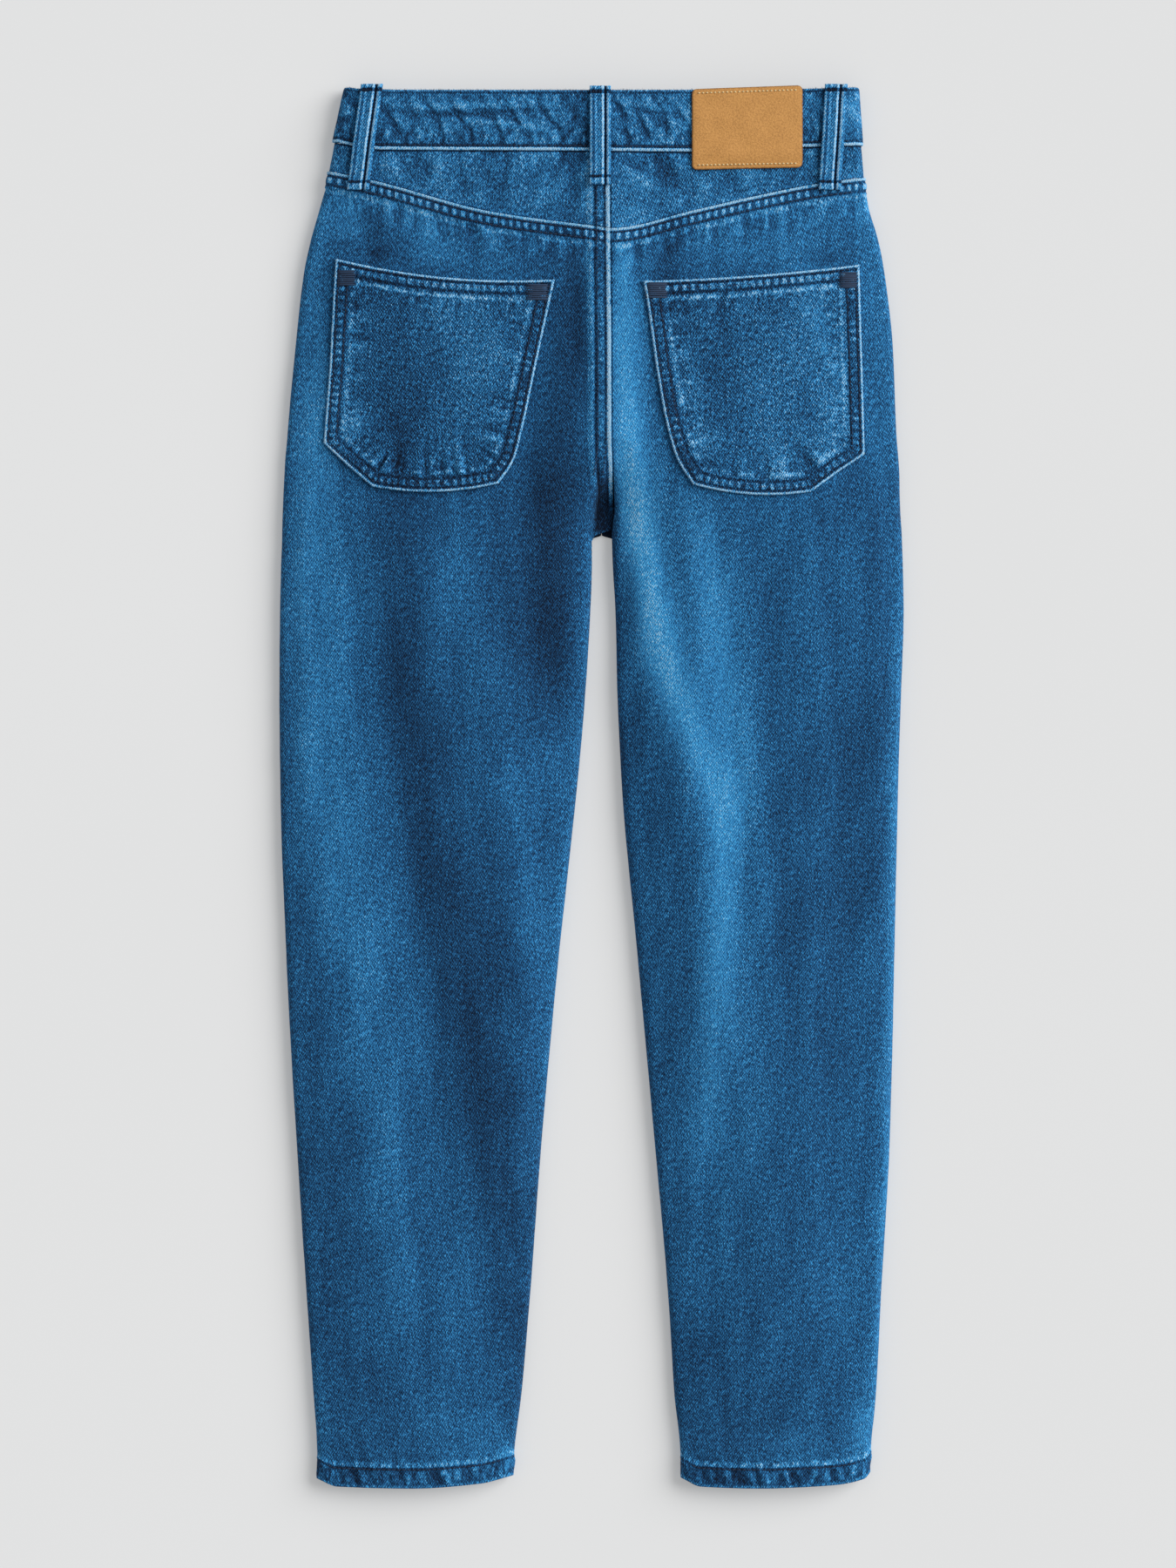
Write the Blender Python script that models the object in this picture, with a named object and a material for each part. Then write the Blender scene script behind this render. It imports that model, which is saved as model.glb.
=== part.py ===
"""Straight jeans, laid flat with the back up.

The frame is in metres with +Z up. +Y runs to the waist, +X to the wearer's right leg, and the origin
lies on the floor in the middle of the garment. Sizes below are in millimetres and are turned into
metres where a mesh is made. The front lies flat on the floor, the back lies over it as a low arch,
and its side edges turn under to meet the front.
"""

import math
from collections import namedtuple

import bpy
import numpy as np

MM = 0.001

# Cloth and seam sizes
SEAM_GAP = 0.3
SIDE_GAP = 0.45
DENIM = 1.2
WAISTBAND_WALL = 2.4
WAISTBAND_RAISE = 1.2
POCKET_CLOTH = 1.2
LOOP_CLOTH = 2.0
PATCH_LEATHER = 1.3
FELL_RAISE = 0.9
FELL_WIDTH = 10.0
SEAT_FELL_WIDTH = 12.0
SEAT_FELL_STEP = 1.2
SEAT_FELL_FADE = 193.0
SEAT_FELL_END = 160.0
HEM_RAISE = 1.0
HEM_DEPTH = 12.5

# How the back turns under at its sides
EDGE_RADIUS = 4.0
TURN_UNDER = 11.0
WAIST_LIFT = 2.9
WAIST_LIFT_START = 340.0
WAIST_LIFT_END = 380.0
CROWN_POWER = 2.4
ARC_STEPS = 12
CROWN_STEPS = 60
SHARP_ANGLE = 50.0

# Heights along the garment where the seat tube becomes two legs
FRONT_CROTCH_START = 155.0
FRONT_CROTCH_END = 148.0
FRONT_PLAIN_END = 169.0
LEG_BLEND_START = 205.0
LEG_BLEND_END = 152.0
UPRIGHT_START = 198.0
UPRIGHT_END = 172.0
INSEAM_TURN_START = 150.0
INSEAM_TURN_END = 132.0
INSEAM_FLAP_END = 112.0
TURN_CLEARANCE = 1.4
TURNED_LENGTH = TURN_UNDER - EDGE_RADIUS + 0.5 * math.pi * EDGE_RADIUS
CENTRE_FRONT_X = 6.0
FRONT_DIP = 14.0
FRONT_TOP_GAP = 0.65
FRONT_HALF_WIDTH = 146.0
FRONT_COLUMNS = 6
FRONT_ROWS_ABOVE = 17
FRONT_ROWS_BELOW = 15
FRONT_CROTCH_ROWS = (158.0, 155.0, 151.5, 148.0, 143.0, 136.0, 130.0, 124.0, 117.0, 110.0)
FRONT_LEG_TOP = 80.0
FRONT_LEG_FOOT = -380.0
FRONT_TOP_Y = 375.0
FRONT_FOOT_Y = -415.0

# Heights of the waistband's ends, and its points around the front, the turned sides and the back
WAIST_TOP_Y = 417.0
WAIST_FOOT_Y = 382.0
WAIST_TURN = 70.0
WAIST_FRONT_POINTS = 14
WAIST_TURN_POINTS = 8
WAIST_BACK_POINTS = 26
WAIST_ROUNDING = 0.5

# Outline from above: a row for each cross-section, with the height of the cloth over the floor
Row = namedtuple("Row", "y left_side left_inner right_inner right_side height")
OUTLINE = (
    Row(421.0, -146.0, 10.9, 11.2, 158.6, 15.5),
    Row(384.0, -153.6, 10.9, 11.2, 161.2, 17.0),
    Row(355.0, -159.6, 11.4, 11.7, 163.8, 19.0),
    Row(324.0, -168.5, 11.6, 11.9, 172.1, 20.5),
    Row(303.0, -172.6, 11.8, 12.1, 175.8, 21.0),
    Row(261.0, -177.3, 12.2, 12.5, 180.4, 21.5),
    Row(209.0, -182.0, 12.2, 12.6, 182.5, 21.5),
    Row(189.0, -183.6, 10.2, 13.2, 184.1, 21.0),
    Row(168.0, -184.6, 3.6, 13.6, 184.6, 20.5),
    Row(149.0, -185.1, 0.2, 12.2, 185.6, 20.0),
    Row(131.0, -185.6, 0.3, 12.8, 186.2, 19.8),
    Row(105.0, -186.2, -0.7, 14.3, 186.7, 19.5),
    Row(54.0, -186.7, -3.8, 15.6, 185.2, 19.0),
    Row(2.0, -186.2, -8.4, 18.0, 183.5, 18.5),
    Row(-102.0, -182.5, -19.6, 27.6, 181.2, 17.5),
    Row(-206.0, -176.8, -29.3, 37.2, 178.6, 16.5),
    Row(-310.0, -170.0, -37.2, 46.3, 172.9, 15.0),
    Row(-362.0, -166.4, -41.8, 49.4, 170.2, 14.0),
    Row(-394.0, -164.2, -45.8, 53.0, 167.2, 13.0),
    Row(-421.0, -163.8, -47.8, 54.2, 165.4, 12.5),
)

# Large soft folds of the back: ridges have a height above zero and troughs one below it
Fold = namedtuple("Fold", "x0 y0 x1 y1 x2 y2 half_width height")
FOLDS = (
    Fold(12.4, 372.0, 12.6, 290.0, 14.0, 170.0, 26.0, 2.2),
    Fold(22.0, 150.0, 58.0, 10.0, 79.0, -190.0, 24.0, 2.8),
    Fold(54.0, 170.0, 60.0, 110.0, 68.0, 30.0, 11.0, 1.2),
    Fold(-20.0, 300.0, -41.0, 185.0, -15.0, 30.0, 17.0, -1.8),
    Fold(-142.0, 150.0, -106.0, -90.0, -82.0, -300.0, 27.0, -2.2),
    Fold(-66.0, 120.0, -48.0, -40.0, -34.0, -240.0, 26.0, 1.8),
    Fold(150.0, 60.0, 152.0, -140.0, 146.0, -340.0, 20.0, -1.2),
    Fold(104.0, -60.0, 108.0, -200.0, 104.0, -360.0, 22.0, 1.2),
)
FOLD_SOFTNESS = 0.55
FOLD_TAIL = 20.0
FOLD_FADE = 45.0
FOLD_EDGE_START = 2.0
FOLD_EDGE_END = 16.0

# Seam lines and edges seen from above
Point = namedtuple("Point", "x y")
YOKE_SEAM = (
    Point(-162.0, 368.5), Point(-157.0, 367.6), Point(-130.5, 361.9), Point(-59.8, 342.7),
    Point(3.0, 333.8), Point(12.0, 332.6), Point(59.8, 343.2), Point(94.6, 351.5),
    Point(134.2, 359.8), Point(165.0, 364.2),
)
WAISTBAND_FOOT = (
    Point(-156.0, 385.2), Point(-124.3, 380.1), Point(-1.6, 379.1), Point(60.3, 378.6),
    Point(125.8, 381.6), Point(163.0, 382.9),
)
WAISTBAND_TOP = (
    Point(-148.0, 417.6), Point(-130.0, 416.0), Point(-1.6, 415.5), Point(60.3, 415.6),
    Point(125.0, 416.4), Point(160.5, 417.6),
)
LEFT_HEM = (
    Point(-164.5, -413.0), Point(-151.3, -418.0), Point(-106.6, -418.9), Point(-67.1, -416.2),
    Point(-46.8, -411.3),
)
RIGHT_HEM = (
    Point(53.5, -412.6), Point(65.5, -418.0), Point(99.3, -418.9), Point(144.6, -417.0),
    Point(162.2, -413.6), Point(166.9, -408.0),
)
FRONT_HEM_SHORTER = 1.2

# Pocket outlines: a row for each line across, from the mouth to the foot, with how far it sags
PocketRow = namedtuple("PocketRow", "left_x left_y right_x right_y sag")
LEFT_POCKET = (
    PocketRow(-152.4, 315.1, -21.8, 302.1, 5.2),
    PocketRow(-153.9, 292.0, -25.0, 287.6, 2.5),
    PocketRow(-156.0, 251.2, -31.5, 258.0, 0.0),
    PocketRow(-159.6, 204.9, -40.6, 215.3, 0.0),
    PocketRow(-145.5, 191.5, -46.0, 195.5, 2.0),
    PocketRow(-130.5, 178.6, -55.5, 180.6, 4.2),
)
RIGHT_POCKET = (
    PocketRow(30.7, 301.1, 159.6, 311.5, 1.8),
    PocketRow(33.4, 285.0, 160.2, 291.0, 1.0),
    PocketRow(38.6, 248.0, 161.4, 250.0, 0.0),
    PocketRow(44.7, 215.3, 162.8, 198.1, 0.0),
    PocketRow(50.5, 196.0, 147.0, 187.5, 2.0),
    PocketRow(60.5, 180.0, 131.0, 175.6, 4.0),
)
POCKET_BAND = 9.5
POCKET_BAND_RAISE = 0.6
POCKET_SEAT = 0.55
POCKET_WIDTH = 118.0
POCKET_DEPTH = 126.0
POCKET_STEP = 1.0

# Belt loops on the back: the ends of each loop's middle line, from above
Loop = namedtuple("Loop", "name top_x top_y foot_x foot_y width")
BACK_LOOPS = (
    Loop("belt_loop_side_left", -130.8, 419.1, -139.1, 356.2, 13.0),
    Loop("belt_loop_centre_back", 5.2, 417.6, 5.2, 358.3, 12.6),
    Loop("belt_loop_side_right", 145.9, 419.1, 141.9, 356.2, 13.4),
)
LOOP_ARCH = 1.6
LOOP_END = 7.0
LOOP_END_RAISE = 0.7
LOOP_EDGE_DROP = 0.4

# Belt loops and button on the front, between the waistband and the floor
FRONT_LOOP_X = (-78.0, 90.0)
FRONT_LOOP_WIDTH = 12.6
FRONT_LOOP_LENGTH = 44.0
FRONT_LOOP_THICKNESS = 1.4
FRONT_LOOP_THINNED = 0.35
FRONT_LOOP_ABOVE_EDGE = 1.5
BUTTON_X = -3.5
BUTTON_RADIUS = 8.5
BUTTON_HEIGHT = 1.4
BUTTON_RIM = 0.5
BUTTON_SIDES = 32
BUTTON_BELOW_EDGE = 17.0

# Leather patch on the waistband, from above
PATCH_LEFT = 59.8
PATCH_RIGHT = 125.8
PATCH_TOP_LEFT = 415.8
PATCH_TOP_RIGHT = 418.2
PATCH_FOOT_LEFT = 367.6
PATCH_FOOT_RIGHT = 369.2
PATCH_CORNER = 3.0
PATCH_STEP_TOP = 378.0
PATCH_STEP_FOOT = 369.0
PATCH_EDGE_SHARE = 0.8


def knot_slopes(knots_x, knots_y):
    """Slopes at the knots that never overshoot: the harmonic mean of both sides, or level at a peak."""
    steps = np.diff(knots_y) / np.diff(knots_x)
    slopes = np.concatenate([steps[:1], np.zeros(len(steps) - 1), steps[-1:]])
    for i in range(1, len(steps)):
        if steps[i - 1] * steps[i] > 0.0:
            slopes[i] = 2.0 * steps[i - 1] * steps[i] / (steps[i - 1] + steps[i])
    return slopes


def smooth_curve(x, knots_x, knots_y):
    """Smooth cubic curve through the knots, level past both ends."""
    knots_x = np.asarray(knots_x, dtype=float)
    knots_y = np.asarray(knots_y, dtype=float)
    x = np.clip(np.asarray(x, dtype=float), knots_x[0], knots_x[-1])
    slopes = knot_slopes(knots_x, knots_y)
    i = np.clip(np.searchsorted(knots_x, x) - 1, 0, len(knots_x) - 2)
    span = knots_x[i + 1] - knots_x[i]
    t = (x - knots_x[i]) / span
    start = (1 + 2 * t) * (1 - t) ** 2 * knots_y[i] + t * (1 - t) ** 2 * span * slopes[i]
    end = t * t * (3 - 2 * t) * knots_y[i + 1] + t * t * (t - 1) * span * slopes[i + 1]
    return start + end


def smooth_step(x, start, end):
    """0 at start, 1 at end, with a soft turn at both; start may be the higher number."""
    t = np.clip((np.asarray(x, dtype=float) - start) / (end - start), 0.0, 1.0)
    return t * t * (3.0 - 2.0 * t)


def line_y(points, x):
    """The height along the garment of a seam line at x."""
    return smooth_curve(x, [p.x for p in points], [p.y for p in points])


def outline(column, y):
    """One column of the outline table at y."""
    rows = OUTLINE[::-1]
    return smooth_curve(y, [r.y for r in rows], [getattr(r, column) for r in rows])


def floor_lift(y):
    """How far the underside is lifted near the waist, by the front's loops and button."""
    return WAIST_LIFT * smooth_step(y, WAIST_LIFT_START, WAIST_LIFT_END)


def arch(distance, half_width, y):
    """Height of a low arch at a distance in from its edge."""
    near = np.clip(distance / EDGE_RADIUS, 0.0, 1.0)
    rounded = EDGE_RADIUS * (1.0 + np.sqrt(np.clip(1.0 - (1.0 - near) ** 2, 0.0, 1.0)))
    crown = 1.0 - (1.0 - np.clip(distance / half_width, 0.0, 1.0)) ** CROWN_POWER
    lift = floor_lift(y)
    return lift + rounded + (outline("height", y) - lift - 2.0 * EDGE_RADIUS) * crown


def fold_height(x, y):
    """All the soft folds at a place: each follows a curve through three points and fades at its ends."""
    total = np.zeros(np.broadcast(x, y).shape)
    for f in FOLDS:
        low, high = sorted((f.y0, f.y2))
        along = np.clip((f.y0 - y) / (f.y0 - f.y2), 0.0, 1.0)
        middle = (f.y0 - f.y1) / (f.y0 - f.y2)
        bend = (f.x1 - f.x0 - (f.x2 - f.x0) * middle) / (middle * (1.0 - middle))
        centre = f.x0 + (f.x2 - f.x0) * along + bend * along * (1.0 - along)
        across = np.exp(-0.5 * ((x - centre) / (FOLD_SOFTNESS * f.half_width)) ** 2)
        fade = smooth_step(y, low - FOLD_TAIL, low + FOLD_FADE)
        fade = fade * smooth_step(y, high + FOLD_TAIL, high - FOLD_FADE)
        total = total + f.height * across * fade
    return total


def back_height(side, x, y):
    """Height of the back's outer face over the floor; side is 'left' or 'right'."""
    left, right = outline("left_side", y), outline("right_side", y)
    seat = arch(np.minimum(x - left, right - x), 0.5 * (right - left), y)
    inner = outline(side + "_inner", y)
    outer = outline(side + "_side", y)
    edge = np.minimum(np.abs(x - outer), np.abs(inner - x))
    leg = arch(edge, 0.5 * np.abs(inner - outer), y)
    split = smooth_step(y, LEG_BLEND_START, LEG_BLEND_END)
    open_edge = np.where(split > 0.0, edge, np.abs(x - outer))
    folds = fold_height(x, y) * smooth_step(open_edge, FOLD_EDGE_START, FOLD_EDGE_END)
    return (1.0 - split) * seat + split * leg + folds


def back_normal(side, x, y):
    """Unit normal of the back's outer face where it can be seen from above."""
    step = 0.5
    dx = (back_height(side, x + step, y) - back_height(side, x - step, y)) / (2.0 * step)
    dy = (back_height(side, x, y + step) - back_height(side, x, y - step)) / (2.0 * step)
    normal = np.stack([-dx, -dy, np.ones_like(dx)], axis=-1)
    return normal / np.linalg.norm(normal, axis=-1, keepdims=True)


def section_path(side, y):
    """Points (x, z) of one back's outer face across at y, from its side seam to its inner seam."""
    sign = 1.0 if side == "left" else -1.0
    outer = float(outline(side + "_side", y))
    inner = float(outline(side + "_inner", y))
    lift = float(floor_lift(y))
    path = [(outer + sign * TURN_UNDER, lift)]
    for angle in np.radians(np.linspace(-90.0, 0.0, ARC_STEPS)):
        x = outer + sign * EDGE_RADIUS * (1.0 - math.cos(angle))
        path.append((x, lift + EDGE_RADIUS * (1.0 + math.sin(angle))))
    reach = abs(inner - outer)
    near = EDGE_RADIUS * (1.0 - np.cos(np.radians(np.linspace(4.0, 90.0, ARC_STEPS))))
    spread = np.concatenate([near, np.linspace(EDGE_RADIUS, reach - EDGE_RADIUS, CROWN_STEPS)[1:-1]])
    spread = np.concatenate([spread, reach - near[::-1], [reach]])
    x = outer + sign * spread
    z = back_height(side, x, np.full_like(x, y))
    path.extend(zip(x, z))
    turn = float(smooth_step(y, INSEAM_TURN_START, INSEAM_TURN_END))
    if turn > 0.0:
        for angle in np.radians(np.linspace(0.0, -90.0 * turn, ARC_STEPS))[1:]:
            x_turn = inner - sign * EDGE_RADIUS * (1.0 - math.cos(angle))
            path.append((x_turn, lift + EDGE_RADIUS * (1.0 + math.sin(angle))))
        flap = float(smooth_step(y, INSEAM_TURN_END, INSEAM_FLAP_END))
        if flap > 0.0:
            end = inner - sign * (EDGE_RADIUS + flap * (TURN_UNDER - EDGE_RADIUS))
            path.append((end, lift))
    return np.array(path)


def point_on_section(side, y, from_side=None, from_seam=None, share=None):
    """A point (x, z) on a section, by distance from one end or by share of the whole."""
    path = section_path(side, y)
    lengths = np.concatenate([[0.0], np.cumsum(np.hypot(*np.diff(path, axis=0).T))])
    total = lengths[-1]
    if from_side is not None:
        target = from_side
    elif from_seam is not None:
        target = total - from_seam
    else:
        target = share * total
    return np.interp(target, lengths, path[:, 0]), np.interp(target, lengths, path[:, 1])


# Columns of a back panel's grid, across the cloth from its side seam to its inner seam
SIDE_COLUMNS = (0.0, 6.0, 9.2, 11.5, 13.8, 16.4, 22.0)
SEAM_COLUMNS = (30.0, 22.0, 17.5, 14.5, 12.6, 11.6, 9.0, 6.0, 0.0)
MIDDLE_COLUMNS = 11
MIDDLE_START = 0.15
MIDDLE_SPAN = 0.66

# Rows of a back panel's grid, down the garment from the yoke seam to the hem
BACK_ROWS = 30
BAND_STEP = 0.8
FIRST_ROW = 14.0
LAST_ROW = 18.0
MEETING_STEPS = 3
YOKE_ROWS = 5


def columns():
    """Every column as keyword arguments for point_on_section, and its distance from the inner seam."""
    result = [dict(from_side=d) for d in SIDE_COLUMNS]
    for i in range(MIDDLE_COLUMNS):
        share = MIDDLE_START + MIDDLE_SPAN * (i + 0.5) / MIDDLE_COLUMNS
        result.append(dict(share=share))
    result.extend(dict(from_seam=d) for d in SEAM_COLUMNS)
    return result


def meet_line(side, line, column):
    """Where a column meets a line given as a function of x; turned-under columns use the edge's x."""
    y = float(line(0.0 if side == "left" else 20.0))
    for _ in range(MEETING_STEPS):
        x, _ = point_on_section(side, y, **column)
        if column.get("from_side", TURNED_LENGTH) < TURNED_LENGTH:
            x = float(outline(side + "_side", y))
        if y < INSEAM_FLAP_END and column.get("from_seam", TURNED_LENGTH) < TURNED_LENGTH:
            x = float(outline(side + "_inner", y))
        y = float(line(x))
    return y


def back_grid(side, top_line, foot_line, rows):
    """Grid of outer points of a piece of the back, between two lines given as functions of x."""
    grid = []
    tops, feet = [], []
    for column in columns():
        tops.append(meet_line(side, top_line, column))
        feet.append(meet_line(side, foot_line, column))
    for row in rows:
        line = []
        for column, top, foot in zip(columns(), tops, feet):
            y = row(top, foot)
            x, z = point_on_section(side, y, **column)
            line.append((x, y, z))
        grid.append(line)
    return np.array(grid)


def grid_normals(grid):
    """Unit normals of a grid of points, outward when rows run down the garment and columns to +X."""
    along = np.gradient(grid, axis=0)
    across = np.gradient(grid, axis=1)
    normals = np.cross(across, -along)
    return normals / np.linalg.norm(normals, axis=2, keepdims=True)


def wall_object(name, outer, inner, material):
    """A closed wall between two grids of points in millimetres, as one object."""
    rows, cols = outer.shape[:2]
    points = np.concatenate([outer.reshape(-1, 3), inner.reshape(-1, 3)]) * MM
    under = rows * cols
    faces = []
    for r in range(rows - 1):
        for c in range(cols - 1):
            a, b = r * cols + c, r * cols + c + 1
            d, e = a + cols, b + cols
            faces.append((a, d, e, b))
            faces.append((a + under, b + under, e + under, d + under))
    rim = [c for c in range(cols)]
    rim += [r * cols + cols - 1 for r in range(1, rows)]
    rim += [(rows - 1) * cols + c for c in range(cols - 2, -1, -1)]
    rim += [r * cols for r in range(rows - 2, 0, -1)]
    for a, b in zip(rim, rim[1:] + rim[:1]):
        faces.append((a, b, b + under, a + under))
    return mesh_object(name, points, faces, material)


def mesh_object(name, points, faces, material):
    """An object from points in metres, with its faces turned outwards and shaded smooth."""
    mesh = bpy.data.meshes.new(name)
    mesh.from_pydata([tuple(p) for p in points], [], faces)
    mesh.validate()
    mesh.update()
    volume = 0.0
    for face in mesh.polygons:
        corners = [mesh.vertices[i].co for i in face.vertices]
        for b, c in zip(corners[1:], corners[2:]):
            volume += corners[0].dot(b.cross(c))
    if volume < 0.0:
        mesh.flip_normals()
    mesh.materials.append(material)
    mesh.shade_smooth()
    mesh.set_sharp_from_angle(angle=math.radians(SHARP_ANGLE))
    result = bpy.data.objects.new(name, mesh)
    bpy.context.scene.collection.objects.link(result)
    return result


def material(name, colour, roughness, metallic=0.0):
    """A plain Principled material."""
    result = bpy.data.materials.new(name)
    result.use_nodes = True
    shader = result.node_tree.nodes["Principled BSDF"]
    shader.inputs["Base Color"].default_value = (*colour, 1.0)
    shader.inputs["Roughness"].default_value = roughness
    shader.inputs["Metallic"].default_value = metallic
    return result


def clear_scene():
    """Remove every object of the start file."""
    for item in list(bpy.data.objects):
        bpy.data.objects.remove(item, do_unlink=True)


def top_band_rows(count, band, foot_band):
    """Row functions from the top edge down: a raised band at the top, even rows, and a hem band."""
    ends = FIRST_ROW + LAST_ROW
    rows = [lambda top, foot, d=d: top - d for d in (0.0, band, band + BAND_STEP)]
    for i in range(1, count):
        rows.append(lambda top, foot, t=i / count: top - FIRST_ROW - (top - foot - ends) * t)
    for d in (foot_band + BAND_STEP, foot_band, 0.5 * foot_band, 0.0):
        rows.append(lambda top, foot, d=d: foot + d)
    return rows


def seat_fell(side, y, from_seam):
    """Height that the centre seam's felled band adds, on the left side only."""
    if side == "right":
        return 0.0
    half_step = 0.5 * SEAT_FELL_STEP
    inside = smooth_step(from_seam, SEAT_FELL_WIDTH + half_step, SEAT_FELL_WIDTH - half_step)
    return FELL_RAISE * inside * smooth_step(y, SEAT_FELL_END, SEAT_FELL_FADE)


def seam_distances():
    """Distance of each column from the inner seam, or a large one away from it."""
    far = [100.0] * (len(SIDE_COLUMNS) + MIDDLE_COLUMNS)
    return far + list(SEAM_COLUMNS)


def raise_points(grid, normals, heights):
    """Move grid points outwards by an array of heights."""
    return grid + normals * heights[..., None]


def back_panel(side, cloth):
    """One back leg panel, from the yoke seam to the hem, with its felled bands and turned hem."""
    hem = LEFT_HEM if side == "left" else RIGHT_HEM
    half_gap = 0.5 * SEAM_GAP
    rows = top_band_rows(BACK_ROWS, FELL_WIDTH, HEM_DEPTH)
    grid = back_grid(side, lambda x: line_y(YOKE_SEAM, x) - half_gap, lambda x: line_y(hem, x), rows)
    heights = np.zeros(grid.shape[:2])
    last = len(rows) - 1
    for r in range(len(rows)):
        for c, distance in enumerate(seam_distances()):
            seat = float(seat_fell(side, grid[r, c, 1], distance))
            band = FELL_RAISE if r <= 1 else 0.0
            turn_up = HEM_RAISE if r >= last - 2 else 0.0
            heights[r, c] = max(seat, band, turn_up)
    flat = grid[..., 2] < EDGE_RADIUS
    heights[flat] = 0.0
    return shell("back_panel_" + side, grid, heights, DENIM, cloth)


def yoke(side, cloth):
    """One side of the yoke, between the waistband and the yoke seam."""
    half_gap = 0.5 * SEAM_GAP
    rows = [lambda top, foot, t=t: top + (foot - top) * t for t in np.linspace(0.0, 1.0, YOKE_ROWS)]
    grid = back_grid(side, lambda x: line_y(WAISTBAND_FOOT, x) - half_gap,
                     lambda x: line_y(YOKE_SEAM, x) + half_gap, rows)
    heights = np.zeros(grid.shape[:2])
    for r in range(len(rows)):
        for c, distance in enumerate(seam_distances()):
            heights[r, c] = float(seat_fell(side, grid[r, c, 1], distance))
    return shell("yoke_" + side, grid, heights, DENIM, cloth)


def shell(name, grid, heights, wall, cloth):
    """A wall object on a grid, raised by heights outside and plain inside, upright along the seat seam."""
    normals = grid_normals(grid)
    middle = normals[normals.shape[0] // 2, normals.shape[1] // 2]
    if middle[2] < 0.0:
        normals = -normals
    upright = smooth_step(grid[:, -1, 1], UPRIGHT_END, UPRIGHT_START)
    normals[:, -1, 0] *= 1.0 - upright
    normals[:, -1] /= np.linalg.norm(normals[:, -1], axis=1, keepdims=True)
    return wall_object(name, raise_points(grid, normals, heights), grid - normals * wall, cloth)


def front_edge(side, y):
    """The front panel's inner edge: the centre front above the crotch, the inseam below it."""
    sign = 1.0 if side == "left" else -1.0
    inner = float(outline(side + "_inner", y))
    turn = float(smooth_step(y, INSEAM_TURN_START, INSEAM_TURN_END))
    flap = float(smooth_step(y, INSEAM_TURN_END, INSEAM_FLAP_END))
    angle = math.radians(90.0 * turn)
    reach = EDGE_RADIUS * (1.0 - math.cos(angle)) + flap * (TURN_UNDER - EDGE_RADIUS)
    inseam = inner - sign * (reach + SEAM_GAP + TURN_CLEARANCE * (1.0 - flap))
    centre = CENTRE_FRONT_X - sign * 0.5 * SEAM_GAP
    below = float(smooth_step(y, FRONT_CROTCH_START, FRONT_CROTCH_END))
    return centre + (inseam - centre) * below


def front_waist_y(x, line):
    """A waist line on the front, which dips softly towards the centre front."""
    across = np.clip(np.abs(x - CENTRE_FRONT_X) / FRONT_HALF_WIDTH, 0.0, 1.0)
    ends = np.where(x < CENTRE_FRONT_X, line[0].y, line[-1].y)
    middle = 0.5 * (line[0].y + line[-1].y)
    bow = 0.5 + 0.5 * np.cos(math.pi * across)
    return (middle - FRONT_DIP) * bow + ends * (1.0 - bow)


def front_x(side, y, share):
    """A place across the front panel at y, from its side seam (share 0) to its inner edge (share 1)."""
    sign = 1.0 if side == "left" else -1.0
    side_x = float(outline(side + "_side", y)) + sign * (TURN_UNDER + SIDE_GAP)
    return side_x + (front_edge(side, y) - side_x) * share


def front_panel(side, cloth):
    """One front leg panel, flat on the floor between the back's turned edges."""
    hem = LEFT_HEM if side == "left" else RIGHT_HEM
    above = np.linspace(0.0, 1.0, FRONT_ROWS_ABOVE)[:-1]
    lower = list(FRONT_CROTCH_ROWS) + list(np.linspace(FRONT_LEG_TOP, FRONT_LEG_FOOT, FRONT_ROWS_BELOW))
    grid = []
    for share in np.linspace(0.0, 1.0, FRONT_COLUMNS):
        top_x = front_x(side, FRONT_TOP_Y, share)
        top = float(front_waist_y(top_x, WAISTBAND_FOOT)) - FRONT_TOP_GAP
        upper = [top + (FRONT_PLAIN_END - top) * a for a in above]
        foot = float(line_y(hem, front_x(side, FRONT_FOOT_Y, share))) + FRONT_HEM_SHORTER
        ys = upper + lower + [foot + HEM_DEPTH + BAND_STEP, foot + HEM_DEPTH, foot]
        grid.append([(front_x(side, y, share), y, float(floor_lift(y))) for y in ys])
    outer = np.array(grid).transpose(1, 0, 2)
    inner = outer + np.array([0.0, 0.0, DENIM])
    inner[-2:, :, 2] += HEM_RAISE
    return wall_object("front_panel_" + side, outer, inner, cloth)


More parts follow.
